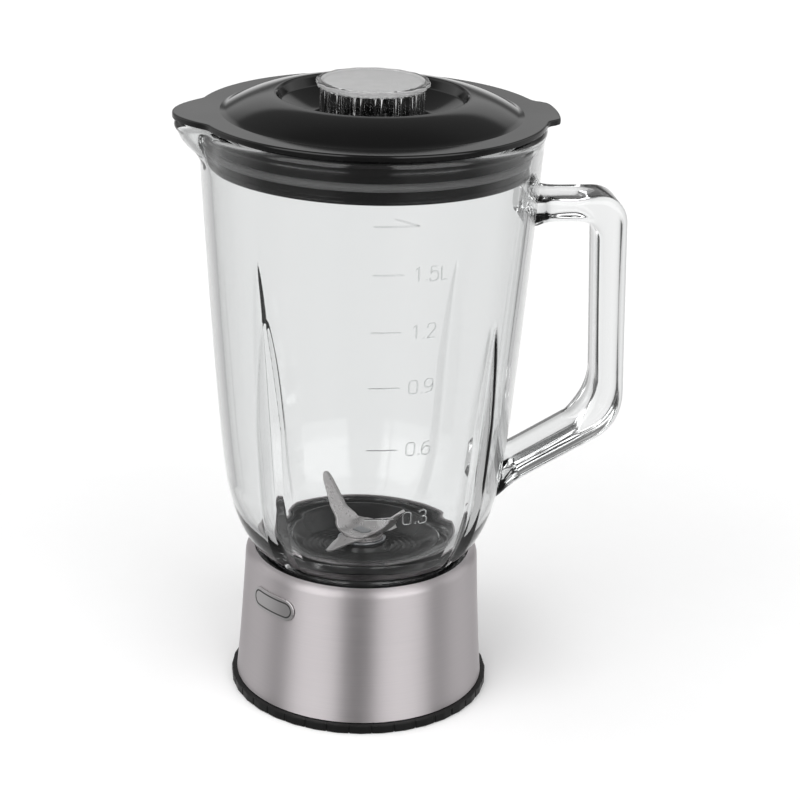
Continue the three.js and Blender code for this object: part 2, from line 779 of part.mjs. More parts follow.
function assemble() {
  const base = new THREE.Group();
  addPart(base, "base_ring", baseRing(), "blackMatt");
  addPart(base, "steel_skirt", steelSkirt(), "brushedSteel");
  addPart(base, "skirt_badge", badge(), "brushedSteel");
  addPart(base, "blade_holder", bladeHolder(), "blackGloss");
  around(screwCount, Math.PI / 2).forEach((angle, i) => {
    const screw = addPart(base, `base_screw_${i + 1}`, baseScrew(), "zincSteel", fitGap);
    screw.position.x = screwCircle * Math.cos(angle);
    screw.position.y = screwCircle * Math.sin(angle);
  });
  addPart(base, "housing_gasket", washer(housingRadius + fitGap, housingFlangeRadius, gasketThickness),
    "rubber", towerTop + fitGap);
  addPart(base, "bearing_housing", bearingHousing(), "zincSteel", housingZ);
  const nutWasherZ = bossZ - fitGap - washerThickness;
  addPart(base, "housing_washer", washer(housingRadius + fitGap, towerRadius + 1, washerThickness),
    "zincSteel", nutWasherZ);
  addPart(base, "housing_nut", hexNut(), "zincSteel", nutWasherZ - fitGap - nutHeight);
  const bush = () => washer(spindleRadius + runGap, bushRadius, bushLength);
  addPart(base, "lower_bush", bush(), "bronze", housingZ);
  addPart(base, "upper_bush", bush(), "bronze", housingTop - sealLipHeight - bushLength - fitGap);
  addPart(base, "spindle_seal", sealLip(), "rubber", housingTop - sealLipHeight);

  const drive = new THREE.Group();
  addPart(drive, "spindle", spindle(), "zincSteel");
  addPart(drive, "blade_washer", washer(spindleRadius + fitGap, bladeHub + 0.4, bladeWasherThickness),
    "bladeSteel", bladeWasherZ);
  addPart(drive, "lower_blade", downBlade(), "bladeSteel", downBladeZ);
  addPart(drive, "upper_blade", upBlade(), "bladeSteel", upBladeZ);
  addPart(drive, "thrust_washer", washer(spindleRadius + fitGap, bushRadius, thrustThickness),
    "bronze", thrustZ);
  addPart(drive, "retaining_clip", retainingClip(), "zincSteel", clipZ);
  addPart(drive, "coupling_hub", washer(spindleRadius + fitGap, hubRadius, couplingHeight - spindleTail),
    "zincSteel", couplingFoot + spindleTail);
  addPart(drive, "drive_coupling", driveCoupling(), "rubber", couplingFoot);

  const jar = new THREE.Group();
  jar.position.z = jarZ;
  addPart(jar, "jar_seal", washer(footRadius - sealWidth, footRadius, sealThickness, wideSides), "rubber",
    seatZ - jarZ);
  addPart(jar, "glass_jar", glassJar(), "glass");

  const cover = new THREE.Group();
  addPart(cover, "lid", lid(), "blackGloss");
  addPart(cover, "lid_gasket", lidGasket(), "rubber", plugZ + 0.4);
  addPart(cover, "measuring_cap", measuringCap(), "clearPlastic", capZ);
  jug.add(base, drive, jar, cover);
}

assemble();

export default jug;
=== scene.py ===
import math

import bpy
import bmesh
import numpy as np
from mathutils import Matrix, Vector


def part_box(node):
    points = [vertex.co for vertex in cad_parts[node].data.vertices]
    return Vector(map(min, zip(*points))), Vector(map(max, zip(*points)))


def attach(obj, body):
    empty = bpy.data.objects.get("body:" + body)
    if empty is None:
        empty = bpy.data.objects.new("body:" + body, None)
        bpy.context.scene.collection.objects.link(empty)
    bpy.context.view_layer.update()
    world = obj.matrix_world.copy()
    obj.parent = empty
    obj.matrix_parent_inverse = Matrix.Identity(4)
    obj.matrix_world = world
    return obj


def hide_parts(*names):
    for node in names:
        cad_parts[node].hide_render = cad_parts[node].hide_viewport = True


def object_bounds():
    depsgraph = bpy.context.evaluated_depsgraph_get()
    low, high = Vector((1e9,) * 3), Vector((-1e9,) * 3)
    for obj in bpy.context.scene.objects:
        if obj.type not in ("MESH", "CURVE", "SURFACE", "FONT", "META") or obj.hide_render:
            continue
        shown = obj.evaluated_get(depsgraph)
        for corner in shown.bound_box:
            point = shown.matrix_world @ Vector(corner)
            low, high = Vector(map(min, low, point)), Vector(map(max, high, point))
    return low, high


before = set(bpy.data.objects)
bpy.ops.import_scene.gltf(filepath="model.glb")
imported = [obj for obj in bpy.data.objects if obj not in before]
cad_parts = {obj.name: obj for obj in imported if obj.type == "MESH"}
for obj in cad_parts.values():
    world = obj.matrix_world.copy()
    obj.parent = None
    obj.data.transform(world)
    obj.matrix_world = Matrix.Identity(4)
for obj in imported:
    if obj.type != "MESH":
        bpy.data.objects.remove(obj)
cadBox = [list(corner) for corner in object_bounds()]
print("frame loaded:", len(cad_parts), "nodes")


# lengths are in mm until meshOf turns them into metres
def lowest(node):
    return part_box(node)[0] * 1000


def highest(node):
    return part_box(node)[1] * 1000


def curve(start, control, end, steps):
    # quadratic curve, its first point left out
    t = np.linspace(0, 1, steps + 1)[1:, None]
    start, control, end = (np.array(p[:2], float) for p in (start, control, end))
    points = (1 - t) ** 2 * start + 2 * t * (1 - t) * control + t * t * end
    return [tuple(p) for p in points]


def softened(points, closed=True, steps=5, hold=0.12):
    # rounds each (x, y, radius) corner and holds the flats beside it with one more point
    out = []
    count = len(points)
    for i, point in enumerate(points):
        here = np.array(point[:2], float)
        radius = point[2] if len(point) > 2 else 0
        ends = not closed and i in (0, count - 1)
        if radius <= 0 or ends:
            out.append(tuple(here))
            continue
        before = np.array(points[i - 1][:2], float) - here
        after = np.array(points[(i + 1) % count][:2], float) - here
        la, lb = np.linalg.norm(before), np.linalg.norm(after)
        before, after = before / la, after / lb
        half = math.acos(np.clip(before @ after, -1, 1)) / 2
        cut = min(radius / math.tan(half), 0.46 * la, 0.46 * lb)
        if cut + hold < 0.49 * la:
            out.append(tuple(here + before * (cut + hold)))
        for t in np.linspace(0, 1, steps + 1):
            a, b = here + before * cut, here + after * cut
            out.append(tuple((1 - t) ** 2 * a + 2 * t * (1 - t) * here + t * t * b))
        if cut + hold < 0.49 * lb:
            out.append(tuple(here + after * (cut + hold)))
    return out


def gridFaces(rows, columns, closedRows=True, closedColumns=True):
    faces = []
    for i in range(rows if closedRows else rows - 1):
        a, b = i * columns, ((i + 1) % rows) * columns
        for j in range(columns if closedColumns else columns - 1):
            k = (j + 1) % columns
            faces.append((a + j, a + k, b + k, b + j))
    return faces


def meshOf(name, points, faces, merge=0.0):
    mesh = bpy.data.meshes.new(name)
    mesh.from_pydata((np.asarray(points, float) * 0.001).tolist(), [], faces)
    work = bmesh.new()
    work.from_mesh(mesh)
    if merge:
        bmesh.ops.remove_doubles(work, verts=work.verts, dist=merge * 0.001)
    bmesh.ops.recalc_face_normals(work, faces=work.faces)
    work.to_mesh(mesh)
    work.free()
    return mesh


def turned(name, profile, sides=180, closed=True, base=0.0, change=None, angles=None):
    # profile of (radius, height), turned round the spindle's axis
    if angles is None:
        angles = np.arange(sides) * 2 * math.pi / sides
    profile = np.array(profile, float)
    radius, height = profile[:, :1], profile[:, 1:2]
    turn = np.broadcast_to(angles[None, :], (len(profile), len(angles)))
    reach = np.broadcast_to(radius, turn.shape).copy()
    if change is not None:
        moved = change(turn, np.broadcast_to(height, turn.shape), reach)
        reach = np.where(reach > 1e-6, reach + moved, reach)
    x, y = reach * np.cos(turn), reach * np.sin(turn)
    z = np.broadcast_to(height + base, turn.shape)
    points = np.stack([x, y, z], -1).reshape(-1, 3)
    onAxis = bool((profile[:, 0] < 1e-6).any())
    faces = gridFaces(len(profile), len(angles), closedRows=closed)
    return meshOf(name, points, faces, merge=1e-4 if onAxis else 0.0)


def loft(name, loops, capped=True):
    # closed loops of equal length joined in order
    loops = np.asarray(loops, float)
    rows, columns = loops.shape[:2]
    faces = gridFaces(rows, columns, closedRows=not capped)
    if capped:
        faces.append(tuple(range(columns)))
        faces.append(tuple(range((rows - 1) * columns, rows * columns)))
    return meshOf(name, loops.reshape(-1, 3), faces)


def newObject(name, data):
    made = bpy.data.objects.new(name, data)
    bpy.context.scene.collection.objects.link(made)
    return made


def cutOrJoin(mesh, tools, operation):
    # exact boolean of a mesh with others, baked into a new mesh
    body = newObject("work", mesh)
    helpers = [newObject("tool", tool) for tool in tools]
    for helper in helpers:
        step = body.modifiers.new("step", "BOOLEAN")
        step.operation, step.solver, step.object = operation, "EXACT", helper
    graph = bpy.context.evaluated_depsgraph_get()
    result = bpy.data.meshes.new_from_object(body.evaluated_get(graph))
    for thing in [body, *helpers]:
        bpy.data.objects.remove(thing)
    return result


def place(name, mesh, body, finish, nodes=(), sharp=38, extra=()):
    piece = newObject(name, mesh)
    mesh.materials.clear()
    for material in [finish, *extra]:
        mesh.materials.append(material)
    mesh.shade_smooth()
    mesh.set_sharp_from_angle(angle=math.radians(sharp))
    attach(piece, body)
    if nodes:
        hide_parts(*nodes)


def angleFrom(angle, centre):
    return np.abs(np.arctan2(np.sin(angle - centre), np.cos(angle - centre)))


def turnedBy(turn, x, y):
    return x * math.cos(turn) - y * math.sin(turn), x * math.sin(turn) + y * math.cos(turn)


def toNotch(angle, radius, count):
    # distance round the piece to the nearest of its count even notches
    pitch = 2 * math.pi / count
    return np.abs((angle + pitch / 2) % pitch - pitch / 2) * radius


def hump(distance, halfWidth):
    inside = distance < halfWidth
    return np.where(inside, 0.5 + 0.5 * np.cos(np.pi * distance / halfWidth), 0)


class Val:
    # one shader socket, so that shader maths reads as maths
    def __init__(self, paint, socket):
        self.paint, self.socket = paint, socket

    def maths(self, operation, first, second):
        return self.paint.add("ShaderNodeMath", {"operation": operation}, {0: first, 1: second})

    def __add__(self, other):
        return self.maths("ADD", self, other)

    __radd__ = __add__

    def __sub__(self, other):
        return self.maths("SUBTRACT", self, other)

    def __rsub__(self, other):
        return self.maths("SUBTRACT", other, self)

    def __mul__(self, other):
        return self.maths("MULTIPLY", self, other)

    __rmul__ = __mul__

    def __truediv__(self, other):
        return self.maths("DIVIDE", self, other)

    def __rtruediv__(self, other):
        return self.maths("DIVIDE", other, self)


class Paint:
    def __init__(self, tree):
        self.tree = tree

    def add(self, kind, settings=None, sockets=None, out=0):
        made = self.tree.nodes.new(kind)
        for key, value in (settings or {}).items():
            if key == "stops":
                ramp = made.color_ramp
                while len(ramp.elements) < len(value):
                    ramp.elements.new(1)
                for element, (position, level) in zip(ramp.elements, value):
                    element.position = position
                    element.color = (level, level, level, 1)
            else:
                setattr(made, key, value)
        for key, value in (sockets or {}).items():
            if isinstance(value, Val):
                self.tree.links.new(value.socket, made.inputs[key])
            else:
                made.inputs[key].default_value = value
        return Val(self, made.outputs[out])

    def where(self):
        return self.add("ShaderNodeTexCoord", out="Object")

    def scaled(self, vector, scale):
        settings = {"operation": "MULTIPLY"}
        return self.add("ShaderNodeVectorMath", settings, {0: vector, 1: scale})

    def noise(self, vector, scale, detail=3, roughness=0.5):
        sockets = {"Vector": vector, "Scale": scale, "Detail": detail, "Roughness": roughness}
        return self.add("ShaderNodeTexNoise", {}, sockets)

    def between(self, value, low, high, outLow=0.0, outHigh=1.0):
        settings = {"interpolation_type": "SMOOTHSTEP"}
        sockets = {0: value, 1: low, 2: high, 3: outLow, 4: outHigh}
        return self.add("ShaderNodeMapRange", settings, sockets)

    def spread(self, noise, low, high):
        # noise lies mostly between 0.3 and 0.7
        return self.between(noise, 0.3, 0.7, low, high)

    def mixed(self, factor, first, second):
        settings = {"data_type": "RGBA"}
        return self.add("ShaderNodeMix", settings, {0: factor, 6: first, 7: second}, out=2)

    def bump(self, height, strength, distance):
        sockets = {"Height": height, "Strength": strength, "Distance": distance}
        return self.add("ShaderNodeBump", {}, sockets)


def shade(level, tint=(1, 1, 1)):
    return (level * tint[0], level * tint[1], level * tint[2], 1)


def newFinish(name, **fixed):
    # a Principled material; fixed holds the values that are the same all over
    material = bpy.data.materials.new(name)
    material.use_nodes = True
    shader = material.node_tree.nodes["Principled BSDF"]
    for key, value in fixed.items():
        shader.inputs[key.replace("_", " ")].default_value = value
    paint = Paint(material.node_tree)

    def feed(**values):
        for key, value in values.items():
            socket = shader.inputs[key.replace("_", " ")]
            material.node_tree.links.new(value.socket, socket)
    return material, paint, feed


def letLightThrough(material, paint):
    # lamps and bounced light pass the glass, so that it throws no hard shadow
    tree = material.node_tree
    path = paint.add("ShaderNodeLightPath", out="Is Shadow Ray")
    diffuse = Val(paint, path.socket.node.outputs["Is Diffuse Ray"])
    clear = paint.add("ShaderNodeBsdfTransparent", {}, {"Color": shade(0.94)})
    surface = Val(paint, tree.nodes["Principled BSDF"].outputs[0])
    both = paint.add("ShaderNodeMixShader", {}, {0: path + diffuse, 1: surface, 2: clear})
    tree.links.new(both.socket, tree.nodes["Material Output"].inputs["Surface"])


glassLook = {"tintLow": (0.925, 0.935, 0.935), "tintHigh": (0.945, 0.95, 0.95), "haze": 0.012,
             "swirl": 38, "stretch": (1, 1, 0.35), "wave": 0.10, "waveDepth": 0.0006}


def glassFinish():
    look = glassLook
    material, paint, feed = newFinish("pressed glass", Transmission_Weight=1.0, IOR=1.5)
    where = paint.where()
    swirl = paint.noise(paint.scaled(where, look["stretch"]), look["swirl"], 2, 0.4)
    tint = paint.mixed(swirl, (*look["tintLow"], 1), (*look["tintHigh"], 1))
    rough = paint.spread(paint.noise(where, 240, 2), 0.0, look["haze"])
    wave = paint.bump(swirl, look["wave"], look["waveDepth"])
    feed(Base_Color=tint, Roughness=rough, Normal=wave)
    letLightThrough(material, paint)
    return material


def capFinish(name, tint, roughLow, roughHigh, transmission):
    material, paint, feed = newFinish(name, Transmission_Weight=transmission, IOR=1.49)
    where = paint.where()
    cloud = paint.noise(where, 160, 3)
    haze = paint.spread(cloud, roughLow, roughHigh)
    colour = paint.mixed(cloud, shade(tint), shade(min(tint + 0.04, 1)))
    feed(Base_Color=colour, Roughness=haze, Normal=paint.bump(cloud, 0.06, 0.0004))
    letLightThrough(material, paint)
    return material


def mouldedFinish(name, colour, roughLow, roughHigh, grain, depth, tint=(1, 1, 1), **fixed):
    # moulded plastic or rubber: fine grain, and a soft drift in colour and gloss
    material, paint, feed = newFinish(name, **fixed)
    where = paint.where()
    drift = paint.noise(where, 45, 3)
    fine = paint.noise(where, grain, 2, 0.6)
    base = paint.mixed(drift, shade(colour * 0.8, tint), shade(colour * 1.25, tint))
    rough = paint.spread(drift * 0.6 + fine * 0.4, roughLow, roughHigh)
    feed(Base_Color=base, Roughness=rough, Normal=paint.bump(fine, depth, 0.0002))
    return material


def brushedFinish(name, colour, roughLow, roughHigh, lines, depth, anisotropy=0.0, metal=1.0,
                  low=0.94):
    # brush lines are long across lines' small numbers and close across its large one
    material, paint, feed = newFinish(name, Metallic=metal, Anisotropic=anisotropy,
                                      Anisotropic_Rotation=0.25)
    where = paint.where()
    brush = paint.noise(paint.scaled(where, lines), 1.0, 3, 0.65)
    drift = paint.noise(where, 30, 2)
    base = paint.mixed(brush, shade(low, colour), (*colour, 1))
    rough = paint.spread(brush * 0.7 + drift * 0.3, roughLow, roughHigh)
    feed(Base_Color=base, Roughness=rough, Normal=paint.bump(brush, depth, 0.0001))
    return material


finishes = {
    "glass": glassFinish(),
    "capClear": capFinish("clear cap wall", 0.93, 0.0, 0.03, 1.0),
    "capTop": capFinish("milky cap top", 0.5, 0.16, 0.24, 0.3),
    "lidGloss": mouldedFinish("black lid gloss", 0.003, 0.07, 0.11, 2200, 0.02,
                              Specular_IOR_Level=0.45),
    "holderGloss": mouldedFinish("black holder gloss", 0.02, 0.12, 0.18, 1800, 0.015),
    "ringMatt": mouldedFinish("black ring satin", 0.006, 0.34, 0.46, 2600, 0.1,
                              Specular_IOR_Level=0.3),
    "gasket": mouldedFinish("lid gasket rubber", 0.003, 0.08, 0.13, 1600, 0.006,
                            Specular_IOR_Level=0.25),
    # the middle sealing lip: rubber rougher than the gasket's, its colour made lighter as a painted
    # sheen for the light ring it catches
    "gasketLipSheen": mouldedFinish("gasket lip with painted sheen", 0.075, 0.35, 0.5, 1600, 0.05),
    "rubber": mouldedFinish("seal rubber", 0.02, 0.55, 0.7, 1500, 0.2),
    "couplingRubber": mouldedFinish("coupling rubber", 0.022, 0.45, 0.6, 1500, 0.2),
    "skirt": brushedFinish("brushed skirt steel", (0.82, 0.775, 0.79), 0.42, 0.56,
                           (24, 24, 1700), 0.14, 0.9, low=0.86),
    "badge": brushedFinish("badge steel", (0.7, 0.68, 0.685), 0.28, 0.36, (40, 40, 2600), 0.1, 0.5),
    "blade": brushedFinish("blade steel", (0.62, 0.6, 0.6), 0.26, 0.32, (420, 420, 60), 0.002,
                           metal=0.7, low=0.9),
    "zinc": brushedFinish("plated steel", (0.52, 0.53, 0.55), 0.25, 0.38, (60, 60, 1800), 0.1),
    "bronze": brushedFinish("sintered bronze", (0.5, 0.33, 0.16), 0.4, 0.55, (700, 700, 700), 0.2),
    "print": mouldedFinish("badge print", 0.02, 0.4, 0.5, 2000, 0.05),
}
print("materials made:", len(finishes))


# glass jar; heights count from its foot
jar = {
    "footRadius": 43.0, "footWall": 8.4, "footHeight": 17.5, "height": 211.3,
    "bellyRadius": 60.4, "bellyHeight": 54.8, "rimRadius": 71.9, "wall": 4.2, "throat": 22.8,
    "swell": 4.6, "lowRise": 9.0, "highRise": 39.0,  # how the wall bends below and above its belly
    "innerSwell": 6.9, "innerRise": 1.7,
    # out from the rim and down from the top
    "bead": [(0.3, 4.4), (0.6, 3.5), (0.65, 2.9), (0.6, 2.3), (0.35, 1.5)],
    "lip": [(-0.15, 0.9), (-0.75, 0.2), (-1.6, 0.0)],
    "fluteAngles": (45, 135, 225, 315), "fluteDepth": 1.9, "fluteWidth": 5.6, "fluteToe": 19.0,
    "toeLength": 9.0, "fluteTop": 136.0, "fluteArch": 46.0,
    "ridgeDepth": 0.6, "ridgeSpread": 1.8, "spoutReach": 9.2, "spoutAngle": 19.0, "spoutDepth": 15.0,
}
jarFoot = lowest("glass_jar").z
flutes = [math.radians(a) for a in jar["fluteAngles"]]


def fluteSide(angle):
    return np.min([angleFrom(angle, f) for f in flutes], axis=0)


def fluteShape(z):
    arch = np.clip((jar["fluteTop"] - z) / jar["fluteArch"], 0, 1)
    toe = np.clip((z - jar["fluteToe"]) / jar["toeLength"], 0, 1)
    return arch ** 0.55, toe * toe * (3 - 2 * toe)


def spoutChange(angle, z):
    side = np.degrees(angleFrom(angle, math.pi))
    drop = np.clip((jar["height"] - z) / jar["spoutDepth"], 0, 1)
    lip = np.clip(1 - drop ** 2.2, 0, 1) ** 0.8
    return jar["spoutReach"] * lip * hump(side, jar["spoutAngle"]) ** (0.8 + 0.5 * drop)


def outerChange(angle, z, radius):
    arch, toe = fluteShape(z)
    across = fluteSide(angle) * radius / np.maximum(jar["fluteWidth"] * arch, 0.01)
    # a shallow V with a rounded bottom
    groove = np.clip(1.2 - np.sqrt(across ** 2 + 0.05), 0, 1)
    return -jar["fluteDepth"] * arch * toe * groove + spoutChange(angle, z)


def innerChange(angle, z, radius):
    arch, toe = fluteShape(z)
    halfWidth = jar["fluteWidth"] * jar["ridgeSpread"] * np.maximum(arch, 0.2)
    ridge = hump(fluteSide(angle) * radius, halfWidth)
    return -jar["ridgeDepth"] * arch * toe * ridge + spoutChange(angle, z)


def jarProfiles():
    foot, tall, wall = jar["footRadius"], jar["height"], jar["wall"]
    belly, bellyZ, rim = jar["bellyRadius"], jar["bellyHeight"], jar["rimRadius"]
    swell, rise = jar["swell"], jar["highRise"]
    shoulder = (foot + 1.5, jar["footHeight"] + 1.5)
    neck = foot - jar["footWall"]
    outer = softened([(neck, 0, 1.2), (foot, 0, 2.2), (foot, jar["footHeight"], 1.5),
                      shoulder], closed=False, steps=6)[1:]
    outer += curve(shoulder, (belly - swell, jar["footHeight"] + jar["lowRise"]), (belly, bellyZ), 26)
    outer += curve((belly, bellyZ), (belly + swell, bellyZ + rise), (rim - 0.1, tall - 5.0), 74)
    outer += [(rim + out, tall - down) for out, down in jar["bead"] + jar["lip"]]
    outer += [(rim - wall - out, tall - down) for out, down in jar["lip"][::-1]]
    throat = (neck, jar["throat"])
    inner = [(neck, 1.4), (neck, 8), (neck, 15), (neck, jar["throat"] - 1.5), throat]
    inner += curve(throat, (belly - jar["innerSwell"], jar["throat"] + jar["innerRise"]),
                   (belly - wall, bellyZ), 30)
    inner += curve((belly - wall, bellyZ), (belly - wall + swell, bellyZ + rise),
                   (rim - wall, tall - 1.9), 62)
    return outer, inner


def jarAngles():
    turns = set(np.round(np.arange(0, 360, 1.5), 2))
    for flute in jar["fluteAngles"]:
        turns |= set(np.round(np.arange(flute - 10.5, flute + 10.51, 0.5), 2))
    return np.radians(sorted(turns))


def jarBody():
    outer, inner = jarProfiles()
    profile = np.array(outer + inner[::-1])
    isInner = np.arange(len(profile)) >= len(outer)

    def change(angle, z, radius):
        return np.where(isInner[:, None], innerChange(angle, z, radius),
                        outerChange(angle, z, radius))
    return turned("jar body", profile, base=jarFoot, change=change, angles=jarAngles())


# outside of the plain wall by height above the jar's foot
plainWall = [p for p in jarProfiles()[0] if p[0] > jar["footRadius"] + 1]
wallRadii = [p[0] for p in plainWall]
wallHeights = [p[1] for p in plainWall]


def wallRadius(z):
    return float(np.interp(z, wallHeights, wallRadii))


handle = {
    "width": 24.2, "bar": 12.4, "arm": 11.2, "topDrop": 31.5, "drop": 134.0, "reach": 39.6,
    "slant": 3.0, "armRise": 30.0, "corner": 12.0, "innerCorner": 8.0, "round": 3.6,
    "bendAbove": 15.0, "bendBeside": 12.0, "innerBend": 9.0,  # where the grip turns into the lower arm
    "sunk": 2.6, "flare": 0.3, "flareLength": 6.5,  # how the arms' roots meet the wall
}


def handlePath():
    h = handle
    top = jar["height"] - h["topDrop"]
    low = top - h["drop"]
    outer = jar["rimRadius"] + h["reach"]
    inside = outer - h["bar"]
    bendZ = low + h["armRise"]
    rootTop, rootLow = wallRadius(top) - h["sunk"], wallRadius(low) - h["sunk"]
    small, beside, turn = h["innerCorner"], h["bendBeside"], h["innerBend"]
    grip = outer - h["slant"]
    slope = h["armRise"] / (outer - wallRadius(low) + jar["wall"])
    under = h["arm"] * math.hypot(1, slope)

    def straight(a, b, steps):
        return [tuple(np.array(a) + (np.array(b) - np.array(a)) * k / steps)
                for k in range(1, steps + 1)]

    def quarter(x, z, radius, steps):
        return [(x + radius * math.sin(a), z + radius * math.cos(a))
                for a in np.linspace(0, math.pi / 2, steps + 1)[1:]]

    out = [(rootTop, top)]
    out += straight(out[-1], (grip - h["corner"], top), 12)
    out += quarter(grip - h["corner"], top - h["corner"], h["corner"], 10)
    out += straight(out[-1], (outer, bendZ + h["bendAbove"]), 18)
    out += curve(out[-1], (outer, bendZ), (outer - beside, bendZ - beside * slope), 10)
    out += straight(out[-1], (rootLow, low - 1.6 * slope), 14)
    into = [(rootTop, top - h["arm"])]
    into += straight(into[-1], (grip - h["bar"] - small, top - h["arm"]), 12)
    into += quarter(grip - h["bar"] - small, top - h["arm"] - small, small, 10)
    into += straight(into[-1], (inside, bendZ + under + turn), 18)
    into += curve(into[-1], (inside, bendZ + under - 1),
                  (inside - turn, bendZ + under - (turn + h["bar"]) * slope), 10)
    into += straight(into[-1], (rootLow, low + under - 1.6 * slope), 14)
    return np.array(out), np.array(into)


def handleBar():
    outer, inner = handlePath()
    corner = [(math.cos(a), math.sin(a)) for a in np.linspace(0, math.pi / 2, 6)]
    length = np.concatenate([[0], np.cumsum(np.linalg.norm(np.diff(outer, axis=0), axis=1))])
    loops = []
    for k, (a, b) in enumerate(zip(outer, inner)):
        root = min(length[k], length[-1] - length[k])
        grow = 1 + handle["flare"] * math.exp(-((root / handle["flareLength"]) ** 2))
        middle, half = (a + b) / 2, (a - b) / 2
        thick = np.linalg.norm(half)
        along = half / thick
        thick *= 1 + 0.5 * (grow - 1)
        wide = handle["width"] / 2 * grow
        soft = min(handle["round"], thick * 0.8)
        ring = []
        for sx, sy in ((1, 1), (-1, 1), (-1, -1), (1, -1)):
            part = corner if sx * sy > 0 else corner[::-1]
            for cx, cy in part:
                u = sx * (thick - soft + soft * cx)
                v = sy * (wide - soft + soft * cy)
                ring.append((middle[0] + along[0] * u, v, middle[1] + along[1] * u + jarFoot))
        loops.append(ring)
    return loft("handle bar", loops)


glassMesh = cutOrJoin(jarBody(), [handleBar()], "UNION")
place("glassJar", glassMesh, "jar", finishes["glass"], ["glass_jar"], sharp=32)
print("jar made:", len(glassMesh.polygons), "faces")


# raised scale on the front of the jar
marks = {
    "levels": [("1.5L", 165.0), ("1.2", 140.5), ("0.9", 116.3), ("0.6", 88.5), ("0.3", 56.5)],
    "lineHalf": 6.5, "textStart": 10.2, "textHeight": 6.0, "letterStep": 0.8, "dotStep": 0.32,
    "strokeWidth": 0.7, "rise": 0.22, "arrowZ": 185.3, "arrowFrom": -6.7, "arrowTo": 12.0,
    "barb": (1.6, 3.4),
}
strokes = {  # pen strokes in a box 0.6 wide and 1 high; True smooths the stroke
    "0": [(True, [(0.3, 1), (0.02, 0.95), (0, 0.5), (0.02, 0.05), (0.3, 0), (0.58, 0.05),
                  (0.6, 0.5), (0.58, 0.95), (0.3, 1)])],
    "1": [(False, [(0.12, 0.78), (0.36, 1), (0.36, 0)])],
    "2": [(True, [(0.03, 0.74), (0.06, 1.02), (0.56, 1.04), (0.6, 0.66), (0.3, 0.36), (0.02, 0)]),
          (False, [(0.02, 0), (0.6, 0)])],
    "3": [(True, [(0.03, 0.84), (0.14, 1.03), (0.56, 1.02), (0.58, 0.6), (0.24, 0.53)]),
          (True, [(0.24, 0.53), (0.62, 0.52), (0.64, 0.02), (0.1, -0.06), (0.01, 0.2)])],
    "5": [(False, [(0.55, 1), (0.12, 1), (0.07, 0.52)]),
          (True, [(0.07, 0.52), (0.3, 0.7), (0.62, 0.6), (0.62, 0.04), (0.12, -0.07),
                  (0.01, 0.18)])],
    "6": [(True, [(0.52, 0.98), (0.08, 0.9), (-0.02, 0.3), (0.06, -0.02), (0.56, -0.04),
                  (0.64, 0.5), (0.24, 0.66), (0.02, 0.36)])],
    "9": [(True, [(0.08, 0.02), (0.52, 0.1), (0.62, 0.7), (0.54, 1.02), (0.04, 1.04),
                  (-0.04, 0.5), (0.36, 0.34), (0.58, 0.64)])],
    "L": [(False, [(0.05, 1), (0.05, 0), (0.5, 0)])],
    ".": [(False, [(0.02, 0.0), (0.2, 0.0)]), (False, [(0.02, 0.1), (0.2, 0.1)])],
}


def smoothed(points, rounds=3):
    for _ in range(rounds):
        cut = [points[0]]
        for a, b in zip(points, points[1:]):
            cut += [0.75 * a + 0.25 * b, 0.25 * a + 0.75 * b]
        points = cut + [points[-1]]
    return points


def stroke(path):
    # a raised half-round pen stroke wrapped on the wall; path is (round the wall, height) in mm
    path = np.array(path, float)
    steps = [path[0]]
    for a, b in zip(path, path[1:]):
        pieces = max(1, int(np.linalg.norm(b - a) / 0.9))
        steps += [a + (b - a) * k / pieces for k in range(1, pieces + 1)]
    steps = np.array(steps)
    run = np.gradient(steps, axis=0)
    run /= np.maximum(np.linalg.norm(run, axis=1, keepdims=True), 1e-9)
    side = np.stack([-run[:, 1], run[:, 0]], 1)
    section = [(math.cos(a), math.sin(a)) for a in np.linspace(0, math.pi, 7)]
    loops = []
    for k, point in enumerate(steps):
        end = 0.35 if k in (0, len(steps) - 1) else 1.0
        ring = []
        for c, s in section:
            u, z = point + side[k] * c * marks["strokeWidth"] / 2 * end
            plain = wallRadius(z)
            radius = plain + 0.04 + marks["rise"] * s * end
            turn = -math.pi / 2 + u / plain
            ring.append((radius * math.cos(turn), radius * math.sin(turn), z + jarFoot))
        loops.append(ring)
    return loops


def markPaths():
    paths = []
    high = marks["textHeight"]
    for text, z in marks["levels"]:
        paths.append([(-marks["lineHalf"], z), (marks["lineHalf"], z)])
        pen = marks["textStart"]
        for letter in text:
            for smooth, points in strokes[letter]:
                points = [np.array(p) for p in points]
                if smooth:
                    points = smoothed(points)
                paths.append([(pen + p[0] * high, z - high / 2 + p[1] * high) for p in points])
            pen += high * marks["dotStep" if letter == "." else "letterStep"]
    z, (barb, up) = marks["arrowZ"], marks["barb"]
    paths.append([(marks["arrowFrom"], z), (marks["arrowTo"], z)])
    paths.append([(barb, z + up), (marks["arrowTo"], z)])
    return paths


def scaleMarks():
    points, faces = [], []
    for path in markPaths():
        loops = np.array(stroke(path))
        rows, columns = loops.shape[:2]
        first = len(points)
        points += loops.reshape(-1, 3).tolist()
        for face in gridFaces(rows, columns, closedRows=False):
            faces.append(tuple(first + k for k in face))
        faces.append(tuple(first + k for k in range(columns)))
        faces.append(tuple(first + (rows - 1) * columns + k for k in range(columns)))
    return meshOf("scale marks", points, faces)


place("scaleMarks", scaleMarks(), "jar", finishes["glass"], sharp=60)
print("scale marks made")


